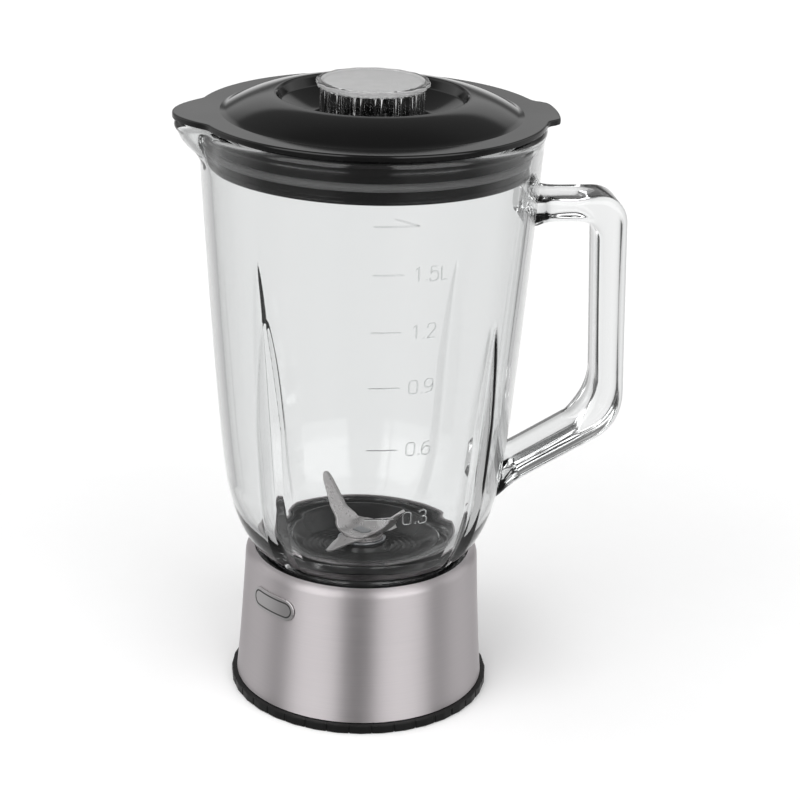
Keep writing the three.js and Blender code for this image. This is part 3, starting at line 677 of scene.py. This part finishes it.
# lid; heights count from the underside of its flange
lid = {
    "overhang": 0.9, "flange": 2.5, "wall": 2.2, "ledge": 9.6, "peak": 7.4,
    "recessRadius": 40.1, "recessWall": 4.4, "recessDepth": 10.3, "plugDepth": 19.2,
    "plugGap": 4.2, "spoutTab": 9.6, "spoutTabAngle": 19.0, "handleTab": 5.0,
    "handleTabAngle": 12.5, "socketRadius": 22.4, "socketDepth": 13.4, "socketWall": 1.8,
    "socketLedge": 2.6,
}
rimInner = jar["rimRadius"] - jar["wall"]
plugRadius = rimInner - lid["plugGap"]
plugFoot = lowest("lid").z
lidUnder = plugFoot + lid["plugDepth"]


def tabChange(angle, z, radius):
    spout = hump(np.degrees(angleFrom(angle, math.pi)), lid["spoutTabAngle"])
    across = np.degrees(angleFrom(angle, 0)) / lid["handleTabAngle"]
    handleSide = 1 / (1 + np.clip(across, 0, 3) ** 14)
    reach = lid["spoutTab"] * spout ** 0.55 + lid["handleTab"] * handleSide
    fade = np.clip((radius - jar["rimRadius"] + 5) / 4, 0, 1)
    return reach * fade


def lidProfile():
    p = lid
    edge = jar["rimRadius"] + p["overhang"]
    crease = jar["rimRadius"] - p["ledge"]
    top = p["flange"]
    peak = top + p["peak"]
    recess, floor = p["recessRadius"], p["socketRadius"] + 3
    recessZ = peak - p["recessDepth"]
    socketZ = recessZ - p["socketDepth"]
    outerSocket = p["socketRadius"] + p["socketWall"]
    domeMiddle = ((crease + recess) / 2 + 1, peak - 1.6)
    points = [(edge, 0, 0.5), (edge, top, 0.9), (crease + 0.6, top, 0.25)]
    dome = curve((crease, top - 0.1), domeMiddle, (recess + 2.2, peak - 0.15), 22)
    points += [(*d, 0) for d in dome]
    points += [(recess + 0.1, peak + 0.05, 0.8), (recess - 0.7, peak - 0.9, 0.5)]
    points += [(recess - 2, peak - p["recessWall"], 1.2)]
    bowl = curve((recess - 2, peak - p["recessWall"]), (floor + 3, recessZ + 0.4),
                 (floor, recessZ), 12)
    points += [(*b, 0) for b in bowl]
    points += [(p["socketRadius"], recessZ - 0.3, 0.7),
               (p["socketRadius"], socketZ + p["socketWall"], 0.4),
               (p["socketRadius"] - p["socketLedge"], socketZ + p["socketWall"], 0.4),
               (p["socketRadius"] - p["socketLedge"], socketZ, 0.4),
               (outerSocket, socketZ, 0.5), (outerSocket, recessZ - p["wall"], 0.8),
               (floor + 1, recessZ - p["wall"], 1),
               (recess - 1, peak - p["recessWall"] - p["wall"] - 1, 1),
               (recess + 1, peak - p["wall"], 0.8)]
    points += [(*u, 0) for u in curve((recess + 1, peak - p["wall"]),
               (domeMiddle[0], domeMiddle[1] - p["wall"]), (plugRadius - p["wall"], 0), 8)]
    points += [(plugRadius - p["wall"], -p["plugDepth"], 0.5), (plugRadius, -p["plugDepth"], 0.5),
               (plugRadius, 0, 0.4)]
    return softened(points)


lidMesh = turned("lid", lidProfile(), sides=240, base=lidUnder, change=tabChange)
place("lidShell", lidMesh, "cover", finishes["lidGloss"], ["lid"], sharp=50)


gasket = {"short": 1.4, "gap": 0.3, "web": 1.3, "lip": 2.4, "sealFoot": 5.4, "seal": 3.0}


def gasketProfile():
    g = gasket
    height = lid["plugDepth"] - g["short"]
    inner = plugRadius + g["gap"]
    root = inner + g["web"]
    points = [(inner, 0, 0.3)]
    lips = [(0.0, g["lip"]), (g["sealFoot"], g["seal"]), (height - g["lip"], g["lip"])]
    for k, (z, tall) in enumerate(lips):
        reach = wallRadius(jar["height"] - lid["plugDepth"] + z) - jar["wall"] - g["gap"]
        points += [(root, z, 0.3)] if k else []
        points += [(reach - 0.5, z + 0.1, 0.5), (reach, z + tall / 2, 0.5),
                   (reach - 0.9, z + tall - 0.2, 0.6), (root, z + tall, 0.5)]
    return softened(points[:-1] + [(root, height, 0.3), (inner, height, 0.3)])


gasketMesh = turned("gasket", gasketProfile(), sides=200, base=lowest("lid_gasket").z)
place("lidGasket", gasketMesh, "cover", finishes["gasket"], ["lid_gasket"],
      extra=[finishes["gasketLipSheen"]])
# the middle lip's faces take the lighter finish, a painted sheen band round the gasket
sealFoot = lowest("lid_gasket").z + gasket["sealFoot"] - 0.1
for face in gasketMesh.polygons:
    if sealFoot < face.center.z * 1000 < sealFoot + gasket["seal"] + 0.2:
        face.material_index = 1


cap = {"radius": 21.8, "wall": 1.6, "overhang": 1.9, "top": 2.2, "height": 27.4,
       "flutes": 16, "fluteDepth": 0.75, "fluteHalf": 1.7, "scallop": 0.5}
capFoot = lowest("measuring_cap").z


def capChange(angle, z, radius):
    across = toNotch(angle, radius, cap["flutes"]) / cap["fluteHalf"]
    notch = cap["fluteDepth"] * np.clip(1 - across, 0, 1) ** 1.2
    body = (radius > 12) & (z < cap["height"] - cap["top"] - 0.3)
    rimScallop = cap["scallop"] * (0.5 + 0.5 * np.cos(angle * cap["flutes"]))
    edge = radius > cap["radius"] + 0.6
    return np.where(body, -notch, 0) - np.where(edge, rimScallop, 0)


def capProfile():
    c = cap
    rim = c["radius"] + c["overhang"]
    under = c["height"] - c["top"]
    points = [(c["radius"] - c["wall"], 0, 0.5), (c["radius"], 0, 0.5),
              (c["radius"], under, 0.3), (rim, under, 0.5),
              (rim, c["height"] - 0.3, 0.7), (rim - 2.4, c["height"] - 0.05, 0.6),
              (rim - 3.4, c["height"] - 0.5, 0.4), (0.0, c["height"] - 0.35, 0)]
    inside = [(0.0, under - 0.2, 0), (c["radius"] - c["wall"], under - 0.4, 1.0)]
    outer = softened(points, closed=False)
    hollow = softened(inside + [(c["radius"] - c["wall"], 0, 0.5)], closed=False)
    return outer + hollow[:-1]


def makeCap():
    mesh = turned("cap", capProfile(), sides=cap["flutes"] * 14, base=capFoot, change=capChange)
    place("measuringCap", mesh, "cap", finishes["capClear"],
          ["measuring_cap"], sharp=40, extra=[finishes["capTop"]])
    level = (capFoot + cap["height"] - cap["top"] - 0.7) * 0.001
    reach = (cap["radius"] - 0.4) * 0.001
    for face in mesh.polygons:
        if face.center.z > level and math.hypot(face.center.x, face.center.y) < reach:
            face.material_index = 1


makeCap()
print("lid, gasket and cap made")


# steel skirt with its rolled top edge
skirt = {"foot": 54.95, "shoulder": 51.3, "wall": 0.8, "roll": 3.8, "waist": 1.6,
         "waistHeight": 23.0}
skirtFoot, skirtTop = lowest("steel_skirt").z, highest("steel_skirt").z
rollZ = skirtTop - skirt["roll"]


def skirtOutline(steps):
    first = (skirt["foot"], skirtFoot)
    return [first] + curve(first, (skirt["shoulder"] + skirt["waist"], skirtFoot + skirt["waistHeight"]),
                           (skirt["shoulder"], rollZ), steps)


def skirtProfile():
    outside = skirtOutline(30)
    middle = skirt["shoulder"] - skirt["roll"]
    inner = skirt["roll"] - skirt["wall"]
    turnOver = [(middle + skirt["roll"] * math.cos(a), rollZ + skirt["roll"] * math.sin(a))
                for a in np.linspace(0, math.pi / 2, 12)[1:]]
    turnBack = [(middle + inner * math.cos(a), rollZ + inner * math.sin(a))
                for a in np.linspace(math.pi / 2, 0, 9)]
    inside = [(r - skirt["wall"], z) for r, z in outside[::-1]][1:]
    return outside + turnOver + turnBack + inside


skirtMesh = turned("skirt", skirtProfile(), sides=256)
place("steelSkirt", skirtMesh, "base", finishes["skirt"], ["steel_skirt"])

badge = {"length": 26.0, "height": 9.6, "thick": 0.5, "gap": 0.3, "angle": -143.5, "drop": 14.2,
         "lineInset": 1.25, "lineWidth": 0.65, "edge": 0.22,
         "slot": 4.6, "perEnd": 14, "perSide": 18}


def pill(inset, lift):
    # loop of (along, up, out) points round the badge, inset from its edge
    radius = badge["height"] / 2 - inset
    half = badge["length"] / 2 - badge["height"] / 2
    loop = []
    for side, start in ((1, -math.pi / 2), (-1, math.pi / 2)):
        loop += [(side * half + radius * math.cos(a), radius * math.sin(a), lift)
                 for a in start + np.linspace(0, math.pi, badge["perEnd"])]
        loop += [(side * half * (1 - 2 * t), side * radius, lift)
                 for t in np.linspace(0, 1, badge["perSide"] + 2)[1:-1]]
    return loop


def onSkirt(loop):
    line = np.array(skirtOutline(40))
    middle = skirtTop - badge["drop"]
    turn = math.radians(badge["angle"])
    out = []
    for along, up, lift in loop:
        z = middle + up
        radius = float(np.interp(z, line[:, 1], line[:, 0]))
        angle = turn + along / radius
        out.append(((radius + lift) * math.cos(angle), (radius + lift) * math.sin(angle), z))
    return out


def badgePlate():
    low, high = badge["gap"], badge["gap"] + badge["thick"]
    edge, slot = badge["edge"], badge["slot"]
    loops = [pill(slot, low), pill(0, low), pill(0, high - edge), pill(edge * 0.3, high - edge * 0.3),
             pill(edge, high), pill(1.6, high), pill(3.2, high), pill(slot, high)]
    loops = np.array([onSkirt(loop) for loop in loops])
    rows, columns = loops.shape[:2]
    faces = gridFaces(rows, columns, closedRows=False)
    perEnd, perSide = badge["perEnd"], badge["perSide"]
    for row in (0, rows - 1):
        # the last loop is a thin slot, bridged across
        upper = [row * columns + perEnd + k for k in range(-1, perSide + 1)]
        lower = [row * columns + 2 * perEnd + perSide + k for k in range(-1, perSide + 1)]
        lower = [k if k < (row + 1) * columns else k - columns for k in lower][::-1]
        faces += [(upper[k], upper[k + 1], lower[k + 1], lower[k]) for k in range(perSide + 1)]
        first = row * columns
        faces.append(tuple(first + k for k in range(perEnd)))
        faces.append(tuple(first + perEnd + perSide + k for k in range(perEnd)))
    return meshOf("badge plate", loops.reshape(-1, 3), faces)


def badgeLine():
    top = badge["gap"] + badge["thick"]
    a, b = badge["lineInset"], badge["lineInset"] + badge["lineWidth"]
    loops = [pill(a, top - 0.1), pill(a, top + 0.03), pill(b, top + 0.03), pill(b, top - 0.1)]
    loops = np.array([onSkirt(loop) for loop in loops])
    return loft("badge line", loops, capped=False)


place("badgePlate", badgePlate(), "base", finishes["badge"], ["skirt_badge"])
place("badgeOutline", badgeLine(), "base", finishes["print"])

ring = {"radius": 57.35, "height": 4.0, "width": 17.0, "web": 5.0, "upstand": 6.0,
        "upstandWall": 2.2, "grips": 36, "gripDepth": 0.8, "notchHalf": 0.55,
        "screwHead": 3.5, "headDepth": 2.4, "screwHole": 1.8}


def gripChange(angle, z, radius):
    pitch = 2 * math.pi / ring["grips"]
    across = toNotch(angle, radius, ring["grips"])
    notch = np.clip(1 - across / ring["notchHalf"], 0, 1) * 0.6
    flat = (across / (pitch * radius / 2)) ** 2 * 0.32
    rim = np.clip((radius - skirt["foot"]) / 1.5, 0, 1)
    return -ring["gripDepth"] * (notch + 0.32 - flat) * rim


def ringProfile():
    r = ring
    inner = r["radius"] - r["width"]
    up = skirt["foot"] - skirt["wall"] - 0.3
    back = up - r["upstandWall"]
    return softened([(inner, 0, 0.6), (r["radius"], 0, 0.7), (r["radius"], r["height"], 0.7),
                     (up, r["height"], 0.3), (up - 0.4, r["height"] + r["upstand"], 0.5),
                     (back, r["height"] + r["upstand"], 0.5), (back, r["web"], 0.6),
                     (inner, r["web"], 0.6)], steps=3)


def screwPosts(steps, sides):
    # a stepped round post at each base screw; steps are (height, radius)
    posts = []
    for k in (1, 2, 3):
        low, high = lowest(f"base_screw_{k}"), highest(f"base_screw_{k}")
        x, y = (low.x + high.x) / 2, (low.y + high.y) / 2
        loops = [[(x + r * math.cos(a), y + r * math.sin(a), z)
                  for a in np.linspace(0, 2 * math.pi, sides, endpoint=False)] for z, r in steps]
        posts.append(loft("post", loops))
    return posts


def ringMesh():
    pitch = 360 / ring["grips"]
    besideNotch = (-4, -3, -2, -1, -0.55, -0.27, 0, 0.27, 0.55, 1, 2, 3, 4, 5)
    turns = sorted(k * pitch + d for k in range(ring["grips"]) for d in besideNotch)
    mesh = turned("base ring", ringProfile(), angles=np.radians(turns), change=gripChange)
    head, depth, hole = ring["screwHead"], ring["headDepth"], ring["screwHole"]
    holes = screwPosts([(-1, head), (depth, head), (depth, hole), (7, hole)], 40)
    return cutOrJoin(mesh, holes, "DIFFERENCE")


place("baseRing", ringMesh(), "base", finishes["ringMatt"], ["base_ring"], sharp=30)
print("skirt, badge and base ring made")


# blade holder, turned about the spindle's axis
holder = {
    "collarInner": 43.6, "collarOuter": 46.9, "seat": 44.0, "seatThick": 3.5, "pedestal": 34.0,
    "pedestalWall": 2.6, "pedestalTop": 70.0, "dish": 64.0, "dishRadius": 26.0, "floor": 3.0,
    "boss": 13.0, "towerHeight": 2.9, "towerRadius": 11.6, "bore": 8.3,
    "collarDrop": 2.1, "screwBoss": 4.0, "bossFoot": 5.3, "bossTop": 42.5,
    "ribs": (15.2, 17.6, 20.0, 22.4, 24.8), "ribHeight": 0.9,
}


def holderProfile():
    h = holder
    collarTop = skirtTop - h["collarDrop"]
    shoulder = skirt["shoulder"] - skirt["wall"] - 0.3
    under = h["seat"] - h["seatThick"]
    floorUnder = h["dish"] - h["floor"]
    tower = h["dish"] + h["towerHeight"]
    points = [(h["collarInner"], h["seat"], 0.6), (h["collarInner"], collarTop, 0.8),
              (h["collarOuter"], collarTop, 0.9), (h["collarOuter"], rollZ, 0.3),
              (shoulder, rollZ, 0.3), (shoulder, rollZ - 4, 0.4), (h["collarOuter"], rollZ - 7, 0.6),
              (h["collarOuter"], under, 0.6), (h["pedestal"] - h["pedestalWall"], under, 0.6),
              (h["pedestal"] - h["pedestalWall"], floorUnder, 1.5),
              (h["towerRadius"], floorUnder, 1.0), (h["towerRadius"], floorUnder - h["boss"], 0.5),
              (h["bore"], floorUnder - h["boss"], 0.3), (h["bore"], tower, 0.3),
              (h["towerRadius"] - 0.6, tower, 0.5), (h["towerRadius"] + 1.4, h["dish"], 1.2)]
    for radius in h["ribs"]:
        points += [(radius - 0.5, h["dish"], 0.25), (radius - 0.2, h["dish"] + h["ribHeight"], 0.15),
                   (radius + 0.2, h["dish"] + h["ribHeight"], 0.15), (radius + 0.5, h["dish"], 0.25)]
    points += [(h["dishRadius"] + 0.3, h["dish"] + 0.1, 1.2),
               (h["pedestal"] - 2.4, h["pedestalTop"] - 0.9, 1.0),
               (h["pedestal"] - 1.2, h["pedestalTop"], 0.6), (h["pedestal"], h["pedestalTop"], 0.8),
               (h["pedestal"], h["seat"], 0.8)]
    return softened(points, steps=4, hold=0.08)


foot, boss = holder["bossFoot"], holder["screwBoss"]
bosses = screwPosts([(foot, 1.9), (foot, boss - 0.3), (foot + 0.3, boss), (holder["bossTop"], boss)], 32)
holderMesh = cutOrJoin(turned("blade holder", holderProfile(), sides=200), bosses, "UNION")
place("bladeHolder", holderMesh, "base", finishes["holderGloss"],
      ["blade_holder"], sharp=35)


def smallTurned(name, node, profile, body, finish, sides=96, change=None, sharp=35):
    # a small turned piece; its profile's heights count from the node's foot
    mesh = turned(name, softened(profile, steps=3, hold=0.05), sides=sides,
                  base=lowest(node).z, change=change)
    place(name, mesh, body, finishes[finish], [node], sharp=sharp)


def flatRing(piece, soft):
    # soft rounds the four corners, from the inner foot outwards and up
    inner, outer, thick = piece["inner"], piece["outer"], piece["thick"]
    corners = [(inner, 0), (outer, 0), (outer, thick), (inner, thick)]
    return [(*corner, radius) for corner, radius in zip(corners, soft)]


housing = {"inner": 6.8, "outer": 8.0, "flange": 10.6, "flangeFoot": 31.5, "height": 33.0,
           "bore": 4.7, "boreFoot": 8.3, "boreTop": 21.4}


def housingProfile():
    h = housing
    return [(h["inner"], 0, 0.2), (h["outer"], 0, 0.3), (h["outer"], h["flangeFoot"], 0.2),
            (h["flange"], h["flangeFoot"], 0.15), (h["flange"], h["height"], 0.5),
            (h["inner"], h["height"], 0.3), (h["inner"], h["boreTop"], 0.1),
            (h["bore"], h["boreTop"], 0.1), (h["bore"], h["boreFoot"], 0.1),
            (h["inner"], h["boreFoot"], 0.1)]


washer = {"inner": 4.3, "outer": 9.4, "thick": 0.6}
seal = {"inner": 36.4, "outer": 43.0, "thick": 1.6}
smallTurned("bearingHousing", "bearing_housing", housingProfile(), "base", "zinc")
smallTurned("bladeWasher", "blade_washer", flatRing(washer, (0.1, 0.15, 0.2, 0.1)), "drive",
            "blade")
smallTurned("jarSeal", "jar_seal", flatRing(seal, (0.5, 0.5, 0.5, 0.5)), "seal", "rubber",
            sides=160)

coupling = {"inner": 7.2, "outer": 13.5, "topRadius": 12.5, "height": 14.0, "collar": 10.5,
            "lobes": 6, "depth": 2.6, "waistTop": 9.8, "waistFade": 1.5, "core": 10.0,
            "coreFade": 2.5}


def couplingLobes(angle, z, radius):
    c = coupling
    waist = np.clip((c["waistTop"] - z) / c["waistFade"], 0, 1)
    waist = waist * np.clip((radius - c["core"]) / c["coreFade"], 0, 1)
    return -c["depth"] * (0.5 + 0.5 * np.cos(angle * c["lobes"])) * waist


def couplingProfile():
    inner, outer, height = coupling["inner"], coupling["outer"], coupling["height"]
    return [(inner, 0, 0.4), (outer, 0, 1.0), (outer, 8.0, 0), (outer, 9.9, 0.5),
            (outer, coupling["collar"], 0.6), (coupling["topRadius"], height, 1.0),
            (inner, height, 0.4)]


smallTurned("driveCoupling", "drive_coupling", couplingProfile(), "drive", "couplingRubber",
            sides=144, change=couplingLobes)


# blades; angles in degrees round the spindle
blades = {
    "upAngle": 127.0, "downAngle": 226.0, "thick": 1.2, "hub": 9.0,
    "upReach": 27.4, "upRise": 19.0, "upRoot": 6.5, "downReach": 24.4, "downFall": -3.6,
    "groundWidth": 2.3, "edgeThick": 0.28, "groundFade": 3.0, "bend": 1.6, "corner": 0.12,
    "slotRadius": 4.25, "slotHalf": 2.9,
}


def lift(x, root, top, rise):
    # height along an arm: flat hub, a soft bend, then a straight climb
    slope, soft = rise / (top - root), blades["bend"]
    d = np.abs(x) - root
    parts = [d <= -soft, d >= soft]
    climb = np.select(parts, [0, slope * d], slope * (d + soft) ** 2 / (4 * soft))
    tilt = np.select(parts, [0, slope], slope * (d + soft) / (2 * soft))
    return climb, tilt * np.sign(x)


def bladeLoft(name, lower, upper, reach, root, rise, turn, base, groundFrom):
    # lower and upper are the arm's two edges as (x, y) points; the other arm is its half turn
    lower, upper = np.array(lower), np.array(upper)
    stations = np.concatenate([np.linspace(0, 8.6, 16), np.linspace(8.9, reach - 1, 26),
                               reach - 1 + np.sin(np.linspace(0, math.pi / 2, 7))[1:] * 0.98])
    t, hub = blades["thick"], blades["hub"]
    half = []
    for x in stations:
        hubHalf = math.sqrt(max(hub * hub - x * x, 0))
        a = np.interp(x, lower[:, 0], lower[:, 1])
        b = np.interp(x, upper[:, 0], upper[:, 1])
        if x < hub:
            a, b = min(a, -hubHalf), max(b, hubHalf)
        half.append((x, a, b))
    full = [(-x, -b, -a, -1) for x, a, b in half[:0:-1]] + [(x, a, b, 1) for x, a, b in half]
    loops = []
    for x, a, b, side in full:
        wide = b - a
        amount = np.clip((abs(x) - groundFrom) / blades["groundFade"], 0, 1)
        ground = min(blades["groundWidth"], 0.55 * wide) * amount
        thin = t + (blades["edgeThick"] - t) * amount
        r = min(blades["corner"], wide / 8)
        if side > 0:  # cutting edge at a
            section = [(a, 0), (a, thin * 0.9), (a + ground + r, t), (b - r, t), (b, t - r), (b, r),
                       (b - r, 0), (a + r, 0)]
        else:         # cutting edge at b
            section = [(a, r), (a, t - r), (a + r, t), (b - ground - r, t), (b, thin * 0.9), (b, 0),
                       (b - r, 0), (a + r, 0)]
        climb, tilt = lift(x, root, reach + 2, rise)
        norm = math.hypot(1, tilt)
        ringPoints = []
        for y, up in section:
            along, height = x - tilt / norm * up, climb + up / norm
            ringPoints.append((*turnedBy(turn, along, y), height + base))
        loops.append(ringPoints)
    return loft(name, loops)


def slotCutter(turn, base):
    # a round hole with two flats
    radius, half = blades["slotRadius"], blades["slotHalf"]
    outline = []
    for k in range(40):
        a = 2 * math.pi * k / 40
        x, y = radius * math.cos(a), radius * math.sin(a)
        outline.append(turnedBy(turn, x, max(min(y, half), -half)))
    return loft("slot", [[(x, y, base - 1) for x, y in outline],
                         [(x, y, base + 3) for x, y in outline]])


def makeBlade(name, node, lower, upper, reach, root, rise, angle, groundFrom):
    turn = math.radians(angle)
    # the lower blade's hub is its highest part, the upper one's its lowest
    base = lowest(node).z if rise > 0 else highest(node).z - blades["thick"]
    mesh = bladeLoft(name, lower, upper, reach, root, rise, turn, base, groundFrom)
    mesh = cutOrJoin(mesh, [slotCutter(math.radians(blades["upAngle"]), base)], "DIFFERENCE")
    place(name, mesh, "drive", finishes["blade"], [node], sharp=20)


upReach, downReach = blades["upReach"], blades["downReach"]
makeBlade("upperBlade", "upper_blade",
          [(0, -6.3), (4, -5.4), (upReach * 0.5, -2.7), (upReach - 3, -4.1), (upReach - 0.5, -3.9),
           (upReach, -3.3)],
          [(0, 8.3), (3.6, 8.1), (upReach * 0.55, 5.6), (upReach - 2.4, 1.3), (upReach - 0.6, -0.2),
           (upReach, -1.0)],
          upReach, blades["upRoot"], blades["upRise"], blades["upAngle"], 9.5)
makeBlade("lowerBlade", "lower_blade",
          [(0, -5.4), (downReach * 0.6, -4.4), (downReach - 0.8, -1.6), (downReach, -0.2)],
          [(0, 7.6), (3.6, 7.2), (downReach * 0.5, 3.6), (downReach - 1, 1.2), (downReach, 0.2)],
          downReach, blades["hub"], blades["downFall"], blades["downAngle"], 10.5)


spindle = {"radius": 4.0, "groove": 3.3, "grooveUnder": 0.3, "grooveOver": 1.15,
           "flatHalf": 2.65, "flatLength": 3.9}


def spindleMesh():
    s = spindle
    low, high = lowest("spindle").z, highest("spindle").z
    under = lowest("retaining_clip").z - s["grooveUnder"]
    over = lowest("retaining_clip").z + s["grooveOver"]
    profile = [(0, low, 0), (s["radius"], low, 0.5), (s["radius"], under, 0.1),
               (s["groove"], under, 0.1), (s["groove"], over, 0.1), (s["radius"], over, 0.1),
               (s["radius"], high, 0.35), (0, high, 0)]
    shaft = turned("spindle", softened(profile, closed=False, steps=3, hold=0.05), sides=72,
                   closed=False)
    turn = math.radians(blades["upAngle"])
    cutters = []
    for side in (1, -1):
        near, far = side * s["flatHalf"], side * 7
        corners = [turnedBy(turn, x, y) for x, y in ((-9, near), (9, near), (9, far), (-9, far))]
        cutters.append(loft("flat", [[(x, y, z) for x, y in corners]
                                     for z in (high - s["flatLength"], high + 1)]))
    return cutOrJoin(shaft, cutters, "DIFFERENCE")


place("spindle", spindleMesh(), "drive", finishes["zinc"], ["spindle"], sharp=30)
print("blades and bearing made")


# CAD pieces that keep their shape
keptFinishes = {
    "base_screw_1": "zinc", "base_screw_2": "zinc", "base_screw_3": "zinc",
    "housing_gasket": "rubber", "housing_washer": "zinc", "housing_nut": "zinc",
    "lower_bush": "bronze", "upper_bush": "bronze", "spindle_seal": "rubber",
    "thrust_washer": "bronze", "retaining_clip": "zinc", "coupling_hub": "zinc",
}
for node, finish in keptFinishes.items():
    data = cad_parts[node].data
    data.materials.clear()
    data.materials.append(finishes[finish])


# floor, light and camera
studio = {
    "floorSize": 7.0, "floorTone": 0.92, "sunStrength": 1.75, "sunSpread": 70.0,
    "sunDirection": (0.25, 0.35, -0.9), "cameraTurn": 7.46, "cameraTilt": 21.095,
    "cameraRoll": 1.78, "lens": 100.02, "cameraAt": (-0.1017, -0.8926, 0.4793),
    # the room's brightness round the jug, from behind the camera (0) to behind the jug (1)
    "low": [(0.0, 0.13), (0.09, 0.14), (0.16, 0.22), (0.42, 0.22), (0.55, 0.48), (0.78, 0.5),
            (0.92, 0.92), (1.0, 1.0)],
    "high": [(0.0, 0.32), (0.07, 0.32), (0.12, 0.3), (0.34, 0.3), (0.46, 0.3), (0.54, 0.85),
             (0.68, 0.85), (0.78, 0.22), (1.0, 0.17)],
    "horizon": [(0.0, 0.0), (0.80, 0.0), (0.9, 0.6), (0.97, 0.62), (0.99, 0.5), (1.0, 0.45)],
    "boxes": [(0.0, 0.0), (0.075, 0.0), (0.10, 1.0), (0.34, 1.0), (0.40, 0.0), (1.0, 0.0)],
    "through": [(0.0, 1.0), (0.25, 0.95), (0.48, 0.68), (0.76, 0.58), (0.92, 0.94), (1.0, 1.0)],
    "boxBright": 2.2, "boxLow": -0.14, "boxHigh": 0.9, "overhead": 0.14,
}


def makeWorld():
    world = bpy.data.worlds.new("soft studio")
    bpy.context.scene.world = world
    world.use_nodes = True
    paint = Paint(world.node_tree)
    direction = paint.add("ShaderNodeTexCoord", out="Generated")
    turn = math.radians(studio["cameraTurn"])

    def along(*axis):
        dot = {"operation": "DOT_PRODUCT"}
        return paint.add("ShaderNodeVectorMath", dot, {0: direction, 1: axis}, out="Value")

    ahead = along(-math.sin(turn), -math.cos(turn), 0)
    across = along(math.cos(turn), -math.sin(turn), 0)
    up = along(0, 0, 1)
    azimuth = paint.add("ShaderNodeMath", {"operation": "ARCTAN2"}, {0: across, 1: ahead})
    around = paint.add("ShaderNodeMath", {"operation": "ABSOLUTE"}, {0: azimuth}) / math.pi

    def ramp(key):
        return paint.add("ShaderNodeValToRGB", {"stops": studio[key]}, {0: around})

    window = paint.between(up, studio["boxLow"], studio["boxLow"] + 0.2)
    window = window * paint.between(up, studio["boxHigh"] - 0.2, studio["boxHigh"], 1.0, 0.0)
    base = paint.mixed(paint.between(up, -0.02, 0.14), ramp("low"), ramp("high"))
    # a pale wall low behind the jug, which the lid's flat rim and the dish pick up
    wall = ramp("horizon") * paint.between(up, 0.16, 0.24) * paint.between(up, 0.42, 0.5, 1.0, 0.0)
    base = paint.mixed(wall, base, shade(1.0))
    base = paint.mixed(paint.between(up, 0.7, 0.9), base, shade(studio["overhead"]))
    lit = paint.mixed(ramp("boxes") * window, base, shade(studio["boxBright"]))
    # straight through the glass the room is paler, and greyest at the sides
    path = paint.add("ShaderNodeLightPath", out="Is Camera Ray")
    passed = Val(paint, path.socket.node.outputs["Is Transmission Ray"])
    glints = Val(paint, path.socket.node.outputs["Glossy Depth"])
    plain = paint.add("ShaderNodeMath", {"operation": "LESS_THAN"}, {0: glints, 1: 0.5})
    lit = paint.mixed(passed * plain, lit, ramp("through"))
    shown = paint.mixed(path, lit, shade(1.0))
    background = world.node_tree.nodes["Background"]
    world.node_tree.links.new(shown.socket, background.inputs["Color"])


def makeFloor():
    half = studio["floorSize"] / 2
    level = cadBox[0][2] - 0.0001
    steps = np.linspace(-half, half, 9)
    points = [(x * 1000, y * 1000, level * 1000) for x in steps for y in steps]
    faces = gridFaces(9, 9, closedRows=False, closedColumns=False)
    mesh = meshOf("floor", points, faces)
    if mesh.polygons[0].normal.z < 0:
        mesh.flip_normals()
    floor = newObject("floor", mesh)
    material, paint, feed = newFinish("floor paper", Specular_IOR_Level=0.1)
    grain = paint.noise(paint.where(), 60, 2)
    tone = studio["floorTone"]
    feed(Base_Color=paint.mixed(grain, shade(tone - 0.004), shade(tone + 0.004)),
         Roughness=paint.spread(grain, 0.85, 0.95))
    mesh.materials.append(material)
    floor.visible_glossy = False
    floor.visible_transmission = False


def makeSun():
    light = bpy.data.lights.new("soft overhead", "SUN")
    light.energy = studio["sunStrength"]
    light.angle = math.radians(studio["sunSpread"])
    lamp = newObject("soft overhead", light)
    lamp.rotation_euler = Vector(studio["sunDirection"]).to_track_quat("-Z", "Y").to_euler()
    lamp.visible_glossy = False
    lamp.visible_transmission = False


def makeCamera():
    turn, tilt, roll = (math.radians(studio[k]) for k in ("cameraTurn", "cameraTilt", "cameraRoll"))
    ahead = Vector((math.sin(turn) * math.cos(tilt), math.cos(turn) * math.cos(tilt), -math.sin(tilt)))
    right = ahead.cross(Vector((0, 0, 1))).normalized()
    up = right.cross(ahead)
    x = math.cos(roll) * right + math.sin(roll) * up
    y = -math.sin(roll) * right + math.cos(roll) * up
    camera = newObject("camera", bpy.data.cameras.new("camera"))
    camera.data.lens = studio["lens"]
    camera.data.sensor_width = 36
    camera.data.clip_start, camera.data.clip_end = 0.01, 50
    axes = Matrix((x, y, -ahead)).transposed().to_4x4()
    camera.matrix_world = Matrix.Translation(studio["cameraAt"]) @ axes
    bpy.context.scene.camera = camera


makeWorld()
makeFloor()
makeSun()
makeCamera()
scene = bpy.context.scene
scene.view_settings.view_transform = "Standard"
print("stage made")

bpy.context.view_layer.update()
